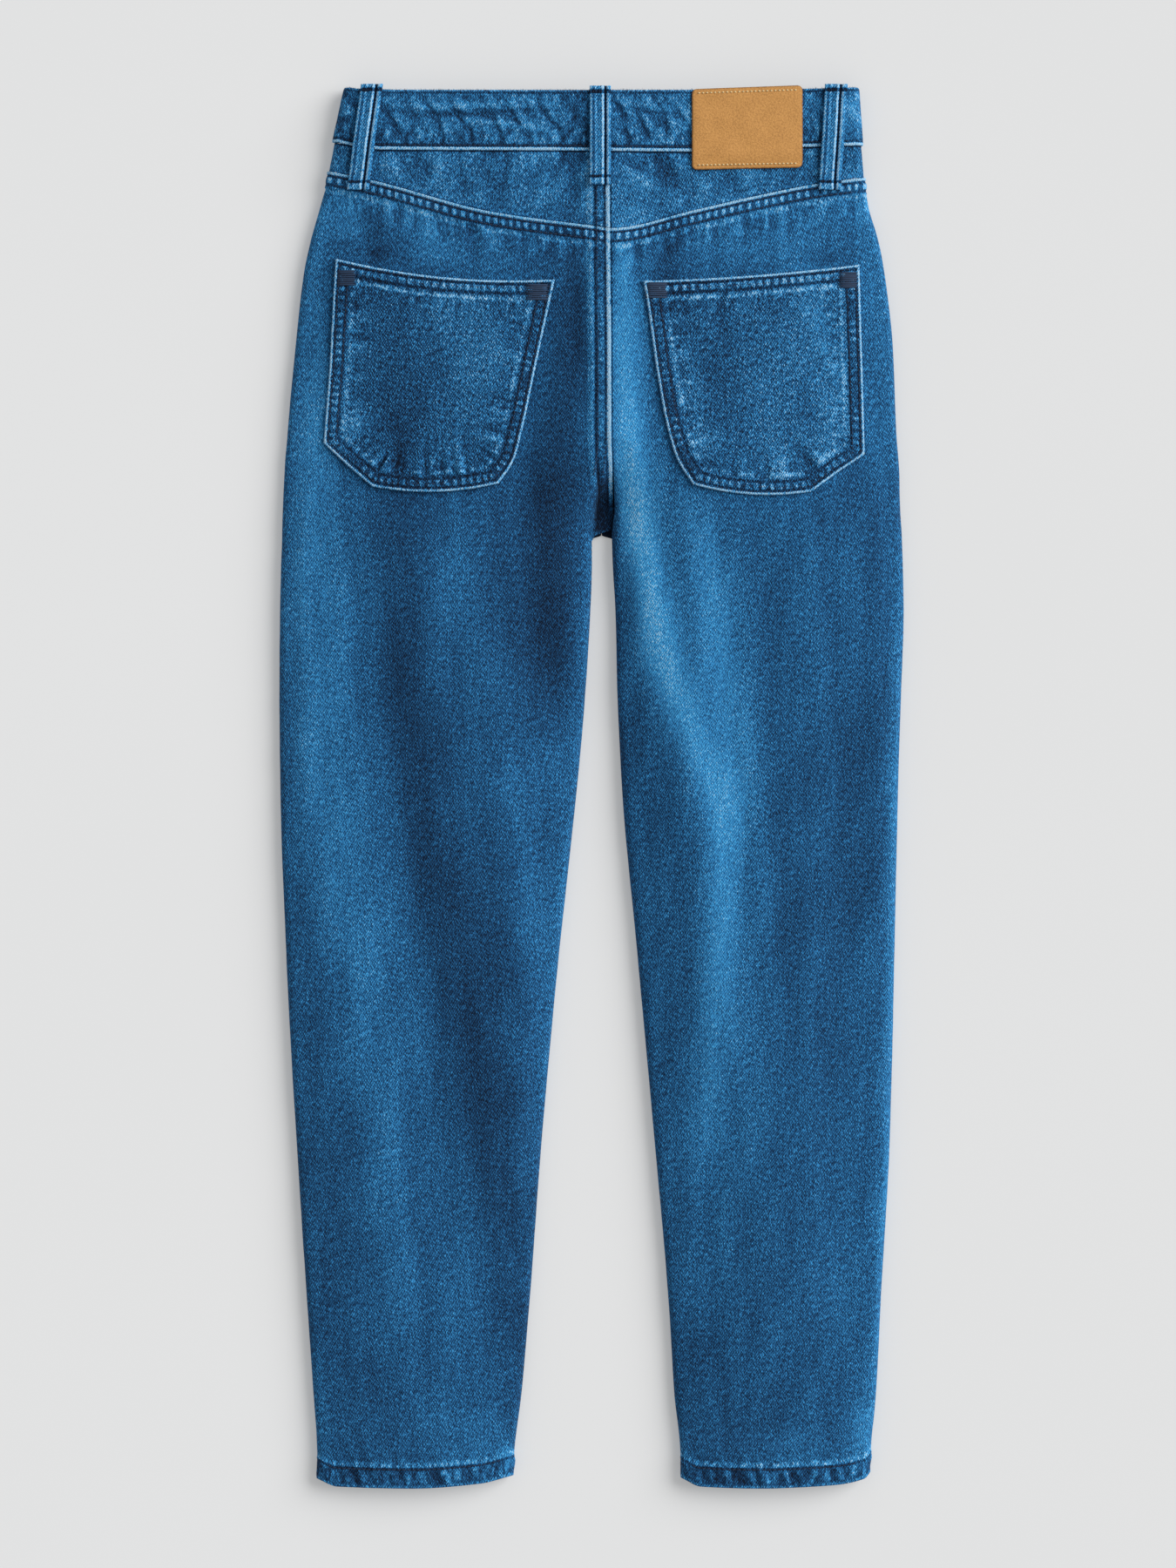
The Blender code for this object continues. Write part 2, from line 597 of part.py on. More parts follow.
def waist_path(y):
    """Points around the waistband's outer face at y: x, z, the x that its edges follow, front's share."""
    left, right = float(outline("left_side", y)), float(outline("right_side", y))
    lift = WAIST_LIFT
    path = []
    half_gap = 0.5 * SEAM_GAP
    for x in np.linspace(CENTRE_FRONT_X - half_gap, left + EDGE_RADIUS, WAIST_FRONT_POINTS):
        path.append((x, lift - WAISTBAND_RAISE, x, 1.0))
    radius = EDGE_RADIUS + WAISTBAND_RAISE
    for angle in np.radians(np.linspace(-WAIST_TURN, WAIST_TURN, WAIST_TURN_POINTS)):
        path.append((left + EDGE_RADIUS - radius * math.cos(angle),
                     lift + EDGE_RADIUS + radius * math.sin(angle), left, 0.5 - 0.5 * math.sin(angle)))
    xs = np.linspace(left + EDGE_RADIUS, right - EDGE_RADIUS, WAIST_BACK_POINTS)
    sides = ["left" if x < CENTRE_FRONT_X else "right" for x in xs]
    for side, x in zip(sides, xs):
        height = float(back_height(side, np.array(x), np.array(y)))
        path.append((x, height + WAISTBAND_RAISE, x, 0.0))
    for angle in np.radians(np.linspace(WAIST_TURN, -WAIST_TURN, WAIST_TURN_POINTS)):
        path.append((right - EDGE_RADIUS + radius * math.cos(angle),
                     lift + EDGE_RADIUS + radius * math.sin(angle), right, 0.5 - 0.5 * math.sin(angle)))
    for x in np.linspace(right - EDGE_RADIUS, CENTRE_FRONT_X + half_gap, WAIST_FRONT_POINTS):
        path.append((x, lift - WAISTBAND_RAISE, x, 1.0))
    return path


def waistband(cloth):
    """The waistband: one doubled strip from the centre front all round to the centre front."""
    rows = []
    for share in (0.0, 0.06, 0.5, 0.94, 1.0):
        middle = WAIST_TOP_Y + (WAIST_FOOT_Y - WAIST_TOP_Y) * share
        row = []
        for x, z, line_x, front in waist_path(middle):
            back_y = line_y(WAISTBAND_TOP, line_x) * (1.0 - share) + line_y(WAISTBAND_FOOT, line_x) * share
            front_y = (front_waist_y(line_x, WAISTBAND_TOP) * (1.0 - share)
                       + front_waist_y(line_x, WAISTBAND_FOOT) * share)
            row.append((x, float(back_y * (1.0 - front) + front_y * front), z))
        rows.append(row)
    grid = np.array(rows)
    normals = grid_normals(grid)
    if normals[2, grid.shape[1] // 2, 2] < 0.0:
        normals = -normals
    rounding = -WAIST_ROUNDING * np.array([1.0, 0.0, 0.0, 0.0, 1.0])[:, None] * np.ones(grid.shape[1])
    outer = raise_points(grid, normals, rounding)
    inner = grid - normals * (WAISTBAND_WALL + rounding[..., None])
    return wall_object("waistband", outer, inner, cloth)


def overlay(name, plan, low, high, side_of, material_used):
    """A flat piece on the back: a grid of (x, y), with its two faces moved out from the cloth."""
    x, y = plan[..., 0], plan[..., 1]
    height = np.where(side_of == "left", back_height("left", x, y), back_height("right", x, y))
    left, right = back_normal("left", x, y), back_normal("right", x, y)
    normal = np.where((side_of == "left")[..., None], left, right)
    base = np.stack([x, y, height], axis=-1)
    return wall_object(name, base + normal * high[..., None], base + normal * low[..., None], material_used)


def band_shares(length, steps):
    """Shares of a pocket's length or width: its stitched bands at both ends, and even steps between."""
    band = np.array([0.0, POCKET_BAND, POCKET_BAND + POCKET_STEP]) / length
    return np.concatenate([band, np.linspace(0.2, 0.8, steps), 1.0 - band[::-1]])


def pocket_plan(side, table, rows, cols):
    """Plan grid of a pocket; its outer side is straight between corners, its inner side is rounded."""
    share = np.linspace(0.0, 1.0, len(table))
    at = {}
    for key in PocketRow._fields:
        values = [getattr(row, key) for row in table]
        straight = key.startswith(side)
        at[key] = np.interp(rows, share, values) if straight else smooth_curve(rows, share, values)
    across = cols[None, :]
    x = at["left_x"][:, None] * (1.0 - across) + at["right_x"][:, None] * across
    y = at["left_y"][:, None] * (1.0 - across) + at["right_y"][:, None] * across
    y = y - at["sag"][:, None] * 4.0 * across * (1.0 - across)
    return np.stack([x, y], axis=-1)


def pocket(side, table, cloth):
    """A patch pocket with a raised band of turned cloth along its edges."""
    rows = band_shares(POCKET_DEPTH, 8)
    corners = np.linspace(0.0, 1.0, len(table))[-3:-1]
    rows = np.sort(np.concatenate([rows, corners]))
    plan = pocket_plan(side, table, rows, band_shares(POCKET_WIDTH, 6))
    band = np.zeros(plan.shape[:2])
    band[:2], band[-2:], band[:, :2], band[:, -2:] = 1.0, 1.0, 1.0, 1.0
    low = np.full(band.shape, POCKET_SEAT)
    high = low + POCKET_CLOTH + POCKET_BAND_RAISE * band
    return overlay("back_pocket_" + side, plan, low, high, np.full(band.shape, side), cloth)


def belt_loop(loop, cloth):
    """A belt loop on the back: a folded strip, raised in the middle and doubled at both ends."""
    length = math.hypot(loop.top_x - loop.foot_x, loop.top_y - loop.foot_y)
    end = LOOP_END / length
    rows = np.array([0.0, 0.02, end, end + 0.03, 0.32, 0.5, 0.66, 0.8, 1.0 - end, 0.98, 1.0])
    cols = np.array([-0.5, -0.45, -0.05, 0.02, 0.1, 0.18, 0.45, 0.5])
    groove = np.array([-0.5, 0.0, 0.0, -0.4, -0.4, 0.1, 0.0, -0.5])
    t, u = np.meshgrid(rows, cols, indexing="ij")
    x = loop.top_x + (loop.foot_x - loop.top_x) * t + u * loop.width
    y = loop.top_y + (loop.foot_y - loop.top_y) * t
    over_band = WAISTBAND_RAISE + SEAM_GAP
    over_yoke = FELL_RAISE + SEAM_GAP
    seated = over_band + (over_yoke - over_band) * smooth_step(t, 0.62, 0.8)
    low = seated + LOOP_ARCH * np.sin(np.pi * np.clip((t - 0.08) / 0.8, 0.0, 1.0)) ** 2
    ends = np.where((t <= end) | (t >= 1.0 - end), LOOP_END_RAISE, 0.0)
    ends = np.where((t == 0.0) | (t == 1.0), -LOOP_EDGE_DROP, ends)
    high = low + LOOP_CLOTH + ends + groove[None, :]
    side = np.where(x < CENTRE_FRONT_X, "left", "right")
    return overlay(loop.name, np.stack([x, y], axis=-1), low, high, side, cloth)


def patch(leather):
    """The leather patch, over the waistband and the top of the yoke, with rounded corners."""
    rows = np.concatenate([[0.0, 0.03, 0.065], np.linspace(0.2, 0.8, 4), [0.9, 0.95, 1.0]])
    cols = np.concatenate([[0.0, 0.02, 0.048], np.linspace(0.2, 0.8, 4), [0.952, 0.98, 1.0]])
    t, u = np.meshgrid(rows, cols, indexing="ij")
    top = PATCH_TOP_LEFT + (PATCH_TOP_RIGHT - PATCH_TOP_LEFT) * u
    foot = PATCH_FOOT_LEFT + (PATCH_FOOT_RIGHT - PATCH_FOOT_LEFT) * u
    across = PATCH_LEFT + (PATCH_RIGHT - PATCH_LEFT) * u
    along = top + (foot - top) * t
    corner = PATCH_CORNER * (1.0 - 1.0 / math.sqrt(2.0))
    for r, row_in in ((0, 1.0), (-1, -1.0)):
        for c, col_in in ((0, 1.0), (-1, -1.0)):
            across[r, c] += corner * col_in
            along[r, c] -= corner * row_in
    over_band = WAISTBAND_RAISE + SEAM_GAP
    low = over_band + (SEAM_GAP + 0.1 - over_band) * smooth_step(along, PATCH_STEP_TOP, PATCH_STEP_FOOT)
    thickness = np.full(t.shape, PATCH_EDGE_SHARE * PATCH_LEATHER)
    thickness[1:-1, 1:-1] = PATCH_LEATHER
    high = low + thickness
    side = np.full(t.shape, "right")
    return overlay("leather_patch", np.stack([across, along], axis=-1), low, high, side, leather)


def front_loops(cloth):
    """Two plain belt loops on the front, under the waistband."""
    for x in FRONT_LOOP_X:
        top_y = float(front_waist_y(x, WAISTBAND_TOP)) + FRONT_LOOP_ABOVE_EDGE
        middle = top_y - 0.5 * FRONT_LOOP_LENGTH
        t, u = np.meshgrid(np.linspace(-0.5, 0.5, 5), (-0.5, -0.44, 0.44, 0.5), indexing="ij")
        thin = np.where(np.abs(u) > 0.45, FRONT_LOOP_THINNED, 0.0)
        plan = np.stack([x + u * FRONT_LOOP_WIDTH, middle - t * FRONT_LOOP_LENGTH], axis=-1)
        top = np.concatenate([plan, (FRONT_LOOP_THICKNESS - thin)[..., None]], axis=-1)
        low = np.concatenate([plan, thin[..., None]], axis=-1)
        side = "left" if x < CENTRE_FRONT_X else "right"
        wall_object("belt_loop_front_" + side, top, low, cloth)


def button(metal):
    """The waist button on the front: a low turned disc with a rounded rim."""
    y = float(front_waist_y(BUTTON_X, WAISTBAND_TOP)) - BUTTON_BELOW_EDGE
    profile = ((0.0, 0.0), (BUTTON_RADIUS - BUTTON_RIM, 0.0), (BUTTON_RADIUS, BUTTON_RIM),
               (BUTTON_RADIUS, BUTTON_HEIGHT - BUTTON_RIM), (BUTTON_RADIUS - BUTTON_RIM, BUTTON_HEIGHT),
               (0.0, BUTTON_HEIGHT))
    points = [(BUTTON_X, y, 0.0)]
    for radius, z in profile[1:-1]:
        for i in range(BUTTON_SIDES):
            turn = 2.0 * math.pi * i / BUTTON_SIDES
            points.append((BUTTON_X + radius * math.cos(turn), y + radius * math.sin(turn), z))
    points.append((BUTTON_X, y, BUTTON_HEIGHT))
    last = len(points) - 1
    faces = []
    for i in range(BUTTON_SIDES):
        j = (i + 1) % BUTTON_SIDES
        faces.append((0, 1 + j, 1 + i))
        for ring in range(3):
            a, b = 1 + ring * BUTTON_SIDES + i, 1 + ring * BUTTON_SIDES + j
            faces.append((a, b, b + BUTTON_SIDES, a + BUTTON_SIDES))
        faces.append((last, 1 + 3 * BUTTON_SIDES + i, 1 + 3 * BUTTON_SIDES + j))
    return mesh_object("waist_button", np.array(points) * MM, faces, metal)


def build():
    """Make every piece of the jeans."""
    clear_scene()
    denim = material("washed_blue_denim", (0.022, 0.110, 0.250), 0.85)
    dark_denim = material("dark_blue_denim", (0.014, 0.070, 0.180), 0.88)
    leather = material("tan_leather", (0.560, 0.290, 0.085), 0.60)
    metal = material("antique_metal", (0.300, 0.270, 0.230), 0.35, 1.0)
    for side in ("left", "right"):
        back_panel(side, denim)
        yoke(side, denim)
        front_panel(side, denim)
    waistband(denim)
    pocket("left", LEFT_POCKET, denim)
    pocket("right", RIGHT_POCKET, denim)
    for loop in BACK_LOOPS:
        belt_loop(loop, dark_denim)
    patch(leather)
    front_loops(dark_denim)
    button(metal)


build()
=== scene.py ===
"""The looks of the jeans: fine cloth shells on the frame's pieces, sewing, finishes, light and camera.

Sizes are in millimetres, in the frame's own axes, and are turned into metres where a mesh is made.
"""

import math
from collections import namedtuple

import bpy
import numpy as np
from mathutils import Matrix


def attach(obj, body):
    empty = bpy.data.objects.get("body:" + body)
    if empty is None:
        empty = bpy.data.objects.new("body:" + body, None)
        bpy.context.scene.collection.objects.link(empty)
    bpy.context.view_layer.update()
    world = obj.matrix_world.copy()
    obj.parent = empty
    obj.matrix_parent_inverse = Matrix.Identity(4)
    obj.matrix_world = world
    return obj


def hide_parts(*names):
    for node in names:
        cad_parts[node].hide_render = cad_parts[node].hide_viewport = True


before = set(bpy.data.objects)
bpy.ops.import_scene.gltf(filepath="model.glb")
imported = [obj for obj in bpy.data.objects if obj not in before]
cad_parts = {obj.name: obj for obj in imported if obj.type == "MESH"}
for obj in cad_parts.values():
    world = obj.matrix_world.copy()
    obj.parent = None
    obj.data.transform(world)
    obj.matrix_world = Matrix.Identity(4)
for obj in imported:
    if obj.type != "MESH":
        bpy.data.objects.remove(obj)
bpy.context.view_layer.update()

MM = 0.001

# Photograph: one pixel is 0.52 mm, and the garment's middle is at this pixel
PIXEL = 0.52
PHOTO_SIZE = (1350, 1800)
GARMENT_MIDDLE = (679.0, 903.0)

# Cloth and seam sizes, as in the frame
DENIM = 1.2
WAISTBAND_WALL = 2.4
WAISTBAND_RAISE = 1.2
SEAM_GAP = 0.3
FELL_RAISE = 0.9
HEM_RAISE = 1.0
HEM_DEPTH = 12.5
HEM_STITCH_IN = 1.4
EDGE_RADIUS = 4.0
TURN_UNDER = 11.0
TURNED_LENGTH = TURN_UNDER - EDGE_RADIUS + 0.5 * math.pi * EDGE_RADIUS
WAIST_LIFT = 2.9
WAIST_LIFT_START = 340.0
WAIST_LIFT_END = 380.0
CROTCH_Y = 149.0
LEG_BLEND_START = 205.0
LEG_BLEND_END = 152.0
INSEAM_TURN_START = 150.0
INSEAM_TURN_END = 132.0
INSEAM_FLAP_END = 112.0
TURN_CLEARANCE = 1.4
CENTRE_FRONT_X = 6.0
FRONT_DIP = 14.0
FRONT_HALF_WIDTH = 146.0
SIDE_GAP = 0.45
RECESS_DEPTH = 6.0
# How strongly painted shade darkens the cloth in the crotch recess
RECESS_SHADE = 1.7
SIGN = {"left": 1.0, "right": -1.0}

# Points along the parts of a cross-section, and the least height of the back's outer face
EDGE_POINTS = 14
PANEL_POINTS = 130
WAIST_TURN_POINTS = 15
WAIST_BACK_POINTS = 240
WAIST_FRONT_POINTS = 80
LEAST_HEIGHT = 3.5

# Outline from above, a row for each cross-section, as in the frame
Row = namedtuple("Row", "y left_side left_inner right_inner right_side height")
OUTLINE = (
    Row(421, -146, 10.9, 11.2, 158.6, 15.5),
    Row(384, -153.6, 10.9, 11.2, 161.2, 17),
    Row(355, -159.6, 11.4, 11.7, 163.8, 19),
    Row(324, -168.5, 11.6, 11.9, 172.1, 20.5),
    Row(303, -172.6, 11.8, 12.1, 175.8, 21),
    Row(261, -177.3, 12.2, 12.5, 180.4, 21.5),
    Row(209, -182, 12.2, 12.6, 182.5, 21.5),
    Row(189, -183.6, 10.2, 13.2, 184.1, 21),
    Row(168, -184.6, 3.6, 13.6, 184.6, 20.5),
    Row(149, -185.1, 0.2, 12.2, 185.6, 20),
    Row(131, -185.6, 0.3, 12.8, 186.2, 19.8),
    Row(105, -186.2, -0.7, 14.3, 186.7, 19.5),
    Row(54, -186.7, -3.8, 15.6, 185.2, 19),
    Row(2, -186.2, -8.4, 18, 183.5, 18.5),
    Row(-102, -182.5, -19.6, 27.6, 181.2, 17.5),
    Row(-206, -176.8, -29.3, 37.2, 178.6, 16.5),
    Row(-310, -170, -37.2, 46.3, 172.9, 15),
    Row(-362, -166.4, -41.8, 49.4, 170.2, 14),
    Row(-394, -164.2, -45.8, 53, 167.2, 13),
    Row(-421, -163.8, -47.8, 54.2, 165.4, 12.5),
)

# Large soft folds, as in the frame, and finer ones that only show here. A long fold fades over the first
# of these lengths inside its end and over the second outside it
FOLD_FADE = 45.0
FOLD_TAIL = 20.0
Fold = namedtuple("Fold", "x0 y0 x1 y1 x2 y2 half_width height")
FOLDS = (
    Fold(12.4, 372, 12.6, 290, 14, 170, 26, 2.2),
    Fold(22, 150, 58, 10, 79, -190, 24, 2.8),
    Fold(54, 170, 60, 110, 68, 30, 11, 1.2),
    Fold(-20, 300, -41, 185, -15, 30, 17, -1.8),
    Fold(-142, 150, -106, -90, -82, -300, 27, -2.2),
    Fold(-66, 120, -48, -40, -34, -240, 26, 1.8),
    Fold(150, 60, 152, -140, 146, -340, 20, -1.2),
    Fold(104, -60, 108, -200, 104, -360, 22, 1.2),
)
FINE_FOLDS = (
    Fold(-140, 352, -138, 338, -132, 312, 7, -1),
    Fold(-118, 345, -112, 332, -108, 312, 6, 0.7),
    Fold(-98, 372, -90, 362, -86, 352, 6, -0.5),
    Fold(-8, 378, -12, 360, -14, 340, 6, -0.9),
    Fold(16, 376, 28, 362, 34, 344, 5, -0.6),
    Fold(42, 374, 54, 362, 62, 348, 5, -0.9),
    Fold(24, 330, 24, 300, 22, 262, 6, 0.5),
    Fold(-6, 316, -9, 280, -10, 230, 6, -0.8),
    Fold(96, 175, 104, 120, 112, 40, 10, -0.7),
    Fold(128, 170, 134, 110, 140, 20, 9, 0.6),
    Fold(-100, 172, -96, 110, -86, 30, 12, 0.8),
    Fold(-60, 172, -58, 130, -50, 70, 9, -0.6),
    Fold(-168, 230, -172, 120, -168, -60, 8, 0.5),
    Fold(168, 200, 172, 60, 168, -120, 8, 0.6),
    Fold(-120, -180, -116, -270, -112, -370, 12, 0.8),
    Fold(-150, -150, -148, -260, -146, -370, 9, -0.5),
    Fold(-70, -230, -66, -300, -66, -372, 9, -0.6),
    Fold(70, -200, 72, -290, 76, -370, 10, -0.7),
    Fold(128, -60, 130, -200, 126, -330, 10, 0.6),
    Fold(92, 60, 100, -20, 102, -110, 10, 0.7),
    Fold(-30, 20, -32, -40, -38, -110, 8, -0.6),
    Fold(-118, 60, -128, 0, -130, -60, 10, 0.5),
)

# Seam lines and edges seen from above, as in the frame
Point = namedtuple("Point", "x y")
YOKE_SEAM = (
    Point(-162, 368.5), Point(-157, 367.6), Point(-130.5, 361.9), Point(-59.8, 342.7),
    Point(3, 333.8), Point(12, 332.6), Point(59.8, 343.2), Point(94.6, 351.5),
    Point(134.2, 359.8), Point(165, 364.2),
)
WAISTBAND_FOOT = (
    Point(-156, 385.2), Point(-124.3, 380.1), Point(-1.6, 379.1), Point(60.3, 378.6),
    Point(125.8, 381.6), Point(163, 382.9),
)
WAISTBAND_TOP = (
    Point(-148, 417.6), Point(-130, 416), Point(-1.6, 415.5), Point(60.3, 415.6),
    Point(125, 416.4), Point(160.5, 417.6),
)
LEFT_HEM = (
    Point(-164.5, -413), Point(-151.3, -418), Point(-106.6, -418.9), Point(-67.1, -416.2),
    Point(-46.8, -411.3),
)
RIGHT_HEM = (
    Point(53.5, -412.6), Point(65.5, -418), Point(99.3, -418.9), Point(144.6, -417),
    Point(162.2, -413.6), Point(166.9, -408),
)
HEMS = {"left": LEFT_HEM, "right": RIGHT_HEM}
FRONT_HEM_SHORTER = 1.2
FRONT_TOP_GAP = 0.65

# Pocket outlines, a row for each line across, from the mouth to the foot
PocketRow = namedtuple("PocketRow", "left_x left_y right_x right_y sag")
POCKETS = {
    "left": (
        PocketRow(-152.4, 315.1, -21.8, 302.1, 5.2),
        PocketRow(-153.9, 292, -25, 287.6, 2.5),
        PocketRow(-156, 251.2, -31.5, 258, 0),
        PocketRow(-159.6, 204.9, -40.6, 215.3, 0),
        PocketRow(-145.5, 191.5, -46, 195.5, 2),
        PocketRow(-130.5, 178.6, -55.5, 180.6, 4.2),
    ),
    "right": (
        PocketRow(30.7, 301.1, 159.6, 311.5, 1.8),
        PocketRow(33.4, 285, 160.2, 291, 1),
        PocketRow(38.6, 248, 161.4, 250, 0),
        PocketRow(44.7, 215.3, 162.8, 198.1, 0),
        PocketRow(50.5, 196, 147, 187.5, 2),
        PocketRow(60.5, 180, 131, 175.6, 4),
    ),
}
POCKET_SPAN = 130.0
POCKET_SEAT = 0.55
POCKET_CLOTH = 1.2
POCKET_EDGE_SPACING = (0.0, 0.35, 0.8, 1.4, 2.1, 2.9, 3.8, 5.0, 6.1, 7.1, 8.1, 9.2, 10.2, 11.3, 12.4, 13.6)

# Belt loops on the back
Loop = namedtuple("Loop", "name top_x top_y foot_x foot_y width")
BACK_LOOPS = (
    Loop("belt_loop_side_left", -130.8, 419.1, -139.1, 356.2, 13.0),
    Loop("belt_loop_centre_back", 5.2, 417.6, 5.2, 358.3, 12.6),
    Loop("belt_loop_side_right", 145.9, 419.1, 141.9, 356.2, 13.4),
)
LOOP_ARCH = 1.6
LOOP_CLOTH = 2.0
LOOP_END = 7.0
LOOP_TACK_FROM_TOP = 3.6
LOOP_TACK_FROM_FOOT = 5.0
LOOP_TACK_WIDTH = 7.6

# Leather patch
PATCH_LEFT = 59.8
PATCH_RIGHT = 125.8
PATCH_TOP_LEFT = 415.8
PATCH_TOP_RIGHT = 418.2
PATCH_FOOT_LEFT = 367.6
PATCH_FOOT_RIGHT = 369.2
PATCH_CORNER = 3.0
PATCH_LEATHER = 1.3
PATCH_STITCH_IN = 2.6
PATCH_SPREAD = np.concatenate([
    [0.0, 0.006, 0.014, 0.026, 0.045], np.linspace(0.07, 0.93, 44), [0.955, 0.974, 0.986, 0.994, 1.0],
])


# Curves and steps

def knot_slopes(knots_x, knots_y):
    """Slopes at the knots that never overshoot: the harmonic mean of both sides, or level at a peak."""
    steps = np.diff(knots_y) / np.diff(knots_x)
    slopes = np.concatenate([steps[:1], np.zeros(len(steps) - 1), steps[-1:]])
    for i in range(1, len(steps)):
        if steps[i - 1] * steps[i] > 0.0:
            slopes[i] = 2.0 * steps[i - 1] * steps[i] / (steps[i - 1] + steps[i])
    return slopes


def smooth_curve(x, knots_x, knots_y):
    """Smooth cubic curve through the knots, level past both ends."""
    knots_x = np.asarray(knots_x, dtype=float)
    knots_y = np.asarray(knots_y, dtype=float)
    x = np.clip(np.asarray(x, dtype=float), knots_x[0], knots_x[-1])
    slopes = knot_slopes(knots_x, knots_y)
    i = np.clip(np.searchsorted(knots_x, x) - 1, 0, len(knots_x) - 2)
    span = knots_x[i + 1] - knots_x[i]
    t = (x - knots_x[i]) / span
    start = (1 + 2 * t) * (1 - t) ** 2 * knots_y[i] + t * (1 - t) ** 2 * span * slopes[i]
    end = t * t * (3 - 2 * t) * knots_y[i + 1] + t * t * (t - 1) * span * slopes[i + 1]
    return start + end


def smooth_step(x, start, end):
    """0 at start, 1 at end, with a soft turn at both; start may be the higher number."""
    t = np.clip((np.asarray(x, dtype=float) - start) / (end - start), 0.0, 1.0)
    return t * t * (3.0 - 2.0 * t)


def between(start, end, share):
    """The value a share of the way from start to end."""
    return start * (1.0 - share) + end * share


def bump(x, centre, half_width):
    """A soft hump of height 1."""
    return np.exp(-0.5 * ((x - centre) / (0.5 * half_width)) ** 2)


def line_y(points, x):
    """The height along the garment of a seam line at x."""
    return smooth_curve(x, [p.x for p in points], [p.y for p in points])


def outline(column, y):
    """One column of the outline table at y."""
    rows = OUTLINE[::-1]
    return smooth_curve(y, [r.y for r in rows], [getattr(r, column) for r in rows])


def waves(x, y, seed, length_x, length_y, count=14):
    """Smooth irregular waves between about -1 and 1, with the given lengths across and along."""
    draw = np.random.default_rng(seed)
    total = np.zeros(np.broadcast(x, y).shape)
    for _ in range(count):
        angle = draw.uniform(0.0, 2.0 * math.pi)
        speed = draw.uniform(0.6, 1.5)
        phase = draw.uniform(0.0, 2.0 * math.pi)
        along = np.cos(angle) * x / length_x + np.sin(angle) * y / length_y
        total = total + np.sin(2.0 * math.pi * speed * along + phase)
    return total / math.sqrt(0.5 * count) / 1.6


# The back's surface

def floor_lift(y):
    """How far the underside is lifted near the waist, by the front's loops and button."""
    return WAIST_LIFT * smooth_step(y, WAIST_LIFT_START, WAIST_LIFT_END)


def arch(distance, half_width, y):
    """Height of a low arch at a distance in from its edge."""
    near = np.clip(distance / EDGE_RADIUS, 0.0, 1.0)
    rounded = EDGE_RADIUS * (1.0 + np.sqrt(np.clip(1.0 - (1.0 - near) ** 2, 0.0, 1.0)))
    crown = 1.0 - (1.0 - np.clip(distance / half_width, 0.0, 1.0)) ** 2.4
    lift = floor_lift(y)
    return lift + rounded + (outline("height", y) - lift - 2.0 * EDGE_RADIUS) * crown


def fold_height(x, y, folds):
    """Soft folds at a place: each follows a curve through three points and fades at its ends."""
    total = np.zeros(np.broadcast(x, y).shape)
    for f in folds:
        low, high = sorted((f.y0, f.y2))
        fade_length = min(FOLD_FADE, 0.6 * (high - low))
        along = np.clip((f.y0 - y) / (f.y0 - f.y2), 0.0, 1.0)
        middle = (f.y0 - f.y1) / (f.y0 - f.y2)
        bend = (f.x1 - f.x0 - (f.x2 - f.x0) * middle) / (middle * (1.0 - middle))
        centre = f.x0 + (f.x2 - f.x0) * along + bend * along * (1.0 - along)
        across = np.exp(-0.5 * ((x - centre) / (0.55 * f.half_width)) ** 2)
        tail = FOLD_TAIL if fade_length == FOLD_FADE else 0.2 * fade_length
        fade = smooth_step(y, low - tail, low + fade_length)
        fade = fade * smooth_step(y, high + tail, high - fade_length)
        total = total + f.height * across * fade
    return total


def back_height(side, x, y, folds=FOLDS + FINE_FOLDS):
    """Height of the back's outer face over the floor; side is 'left' or 'right'."""
    left, right = outline("left_side", y), outline("right_side", y)
    seat = arch(np.minimum(x - left, right - x), 0.5 * (right - left), y)
    inner = outline(side + "_inner", y)
    outer = outline(side + "_side", y)
    edge = np.minimum(np.abs(x - outer), np.clip((inner - x) * SIGN[side], 0.0, None))
    leg = arch(edge, 0.5 * np.abs(inner - outer), y)
    split = smooth_step(y, LEG_BLEND_START, LEG_BLEND_END)
    open_edge = np.where(split > 0.0, edge, np.abs(x - outer))
    soft = fold_height(x, y, folds) * smooth_step(open_edge, 2.0, 16.0)
    return between(seat, leg, split) + soft


def side_at(x):
    """The side of the garment that each place across is on."""
    return np.where(x < CENTRE_FRONT_X, "left", "right")


def back_normal(side, x, y):
    """Unit normal of the back's outer face where it can be seen from above."""
    step = 0.5
    dx = (back_height(side, x + step, y) - back_height(side, x - step, y)) / (2.0 * step)
    dy = (back_height(side, x, y + step) - back_height(side, x, y - step)) / (2.0 * step)
    normal = np.stack([-dx, -dy, np.ones_like(dx)], axis=-1)
    return normal / np.linalg.norm(normal, axis=-1, keepdims=True)


def visual_inner(side, y):
    """The inner edge of a panel: above the crotch the left one stays beside the right one."""
    inner = outline(side + "_inner", y)
    if side == "right":
        return inner
    beside = outline("right_inner", y) - SEAM_GAP
    return inner + np.clip(beside - inner, 0.0, None) * smooth_step(y, 150.0, 153.0)


def recess(side, x, y):
    """How far the cloth has turned away into the dark at the crotch, from 0 to 1."""
    if side == "left":
        return smooth_step(y, 200.0, 160.0) * smooth_step(x, 0.5, 4.0) * smooth_step(y, 120.0, 135.0)
    return 0.3 * smooth_step(y, 185.0, 165.0) * smooth_step(x, 18.0, 13.0) * smooth_step(y, 100.0, 140.0)


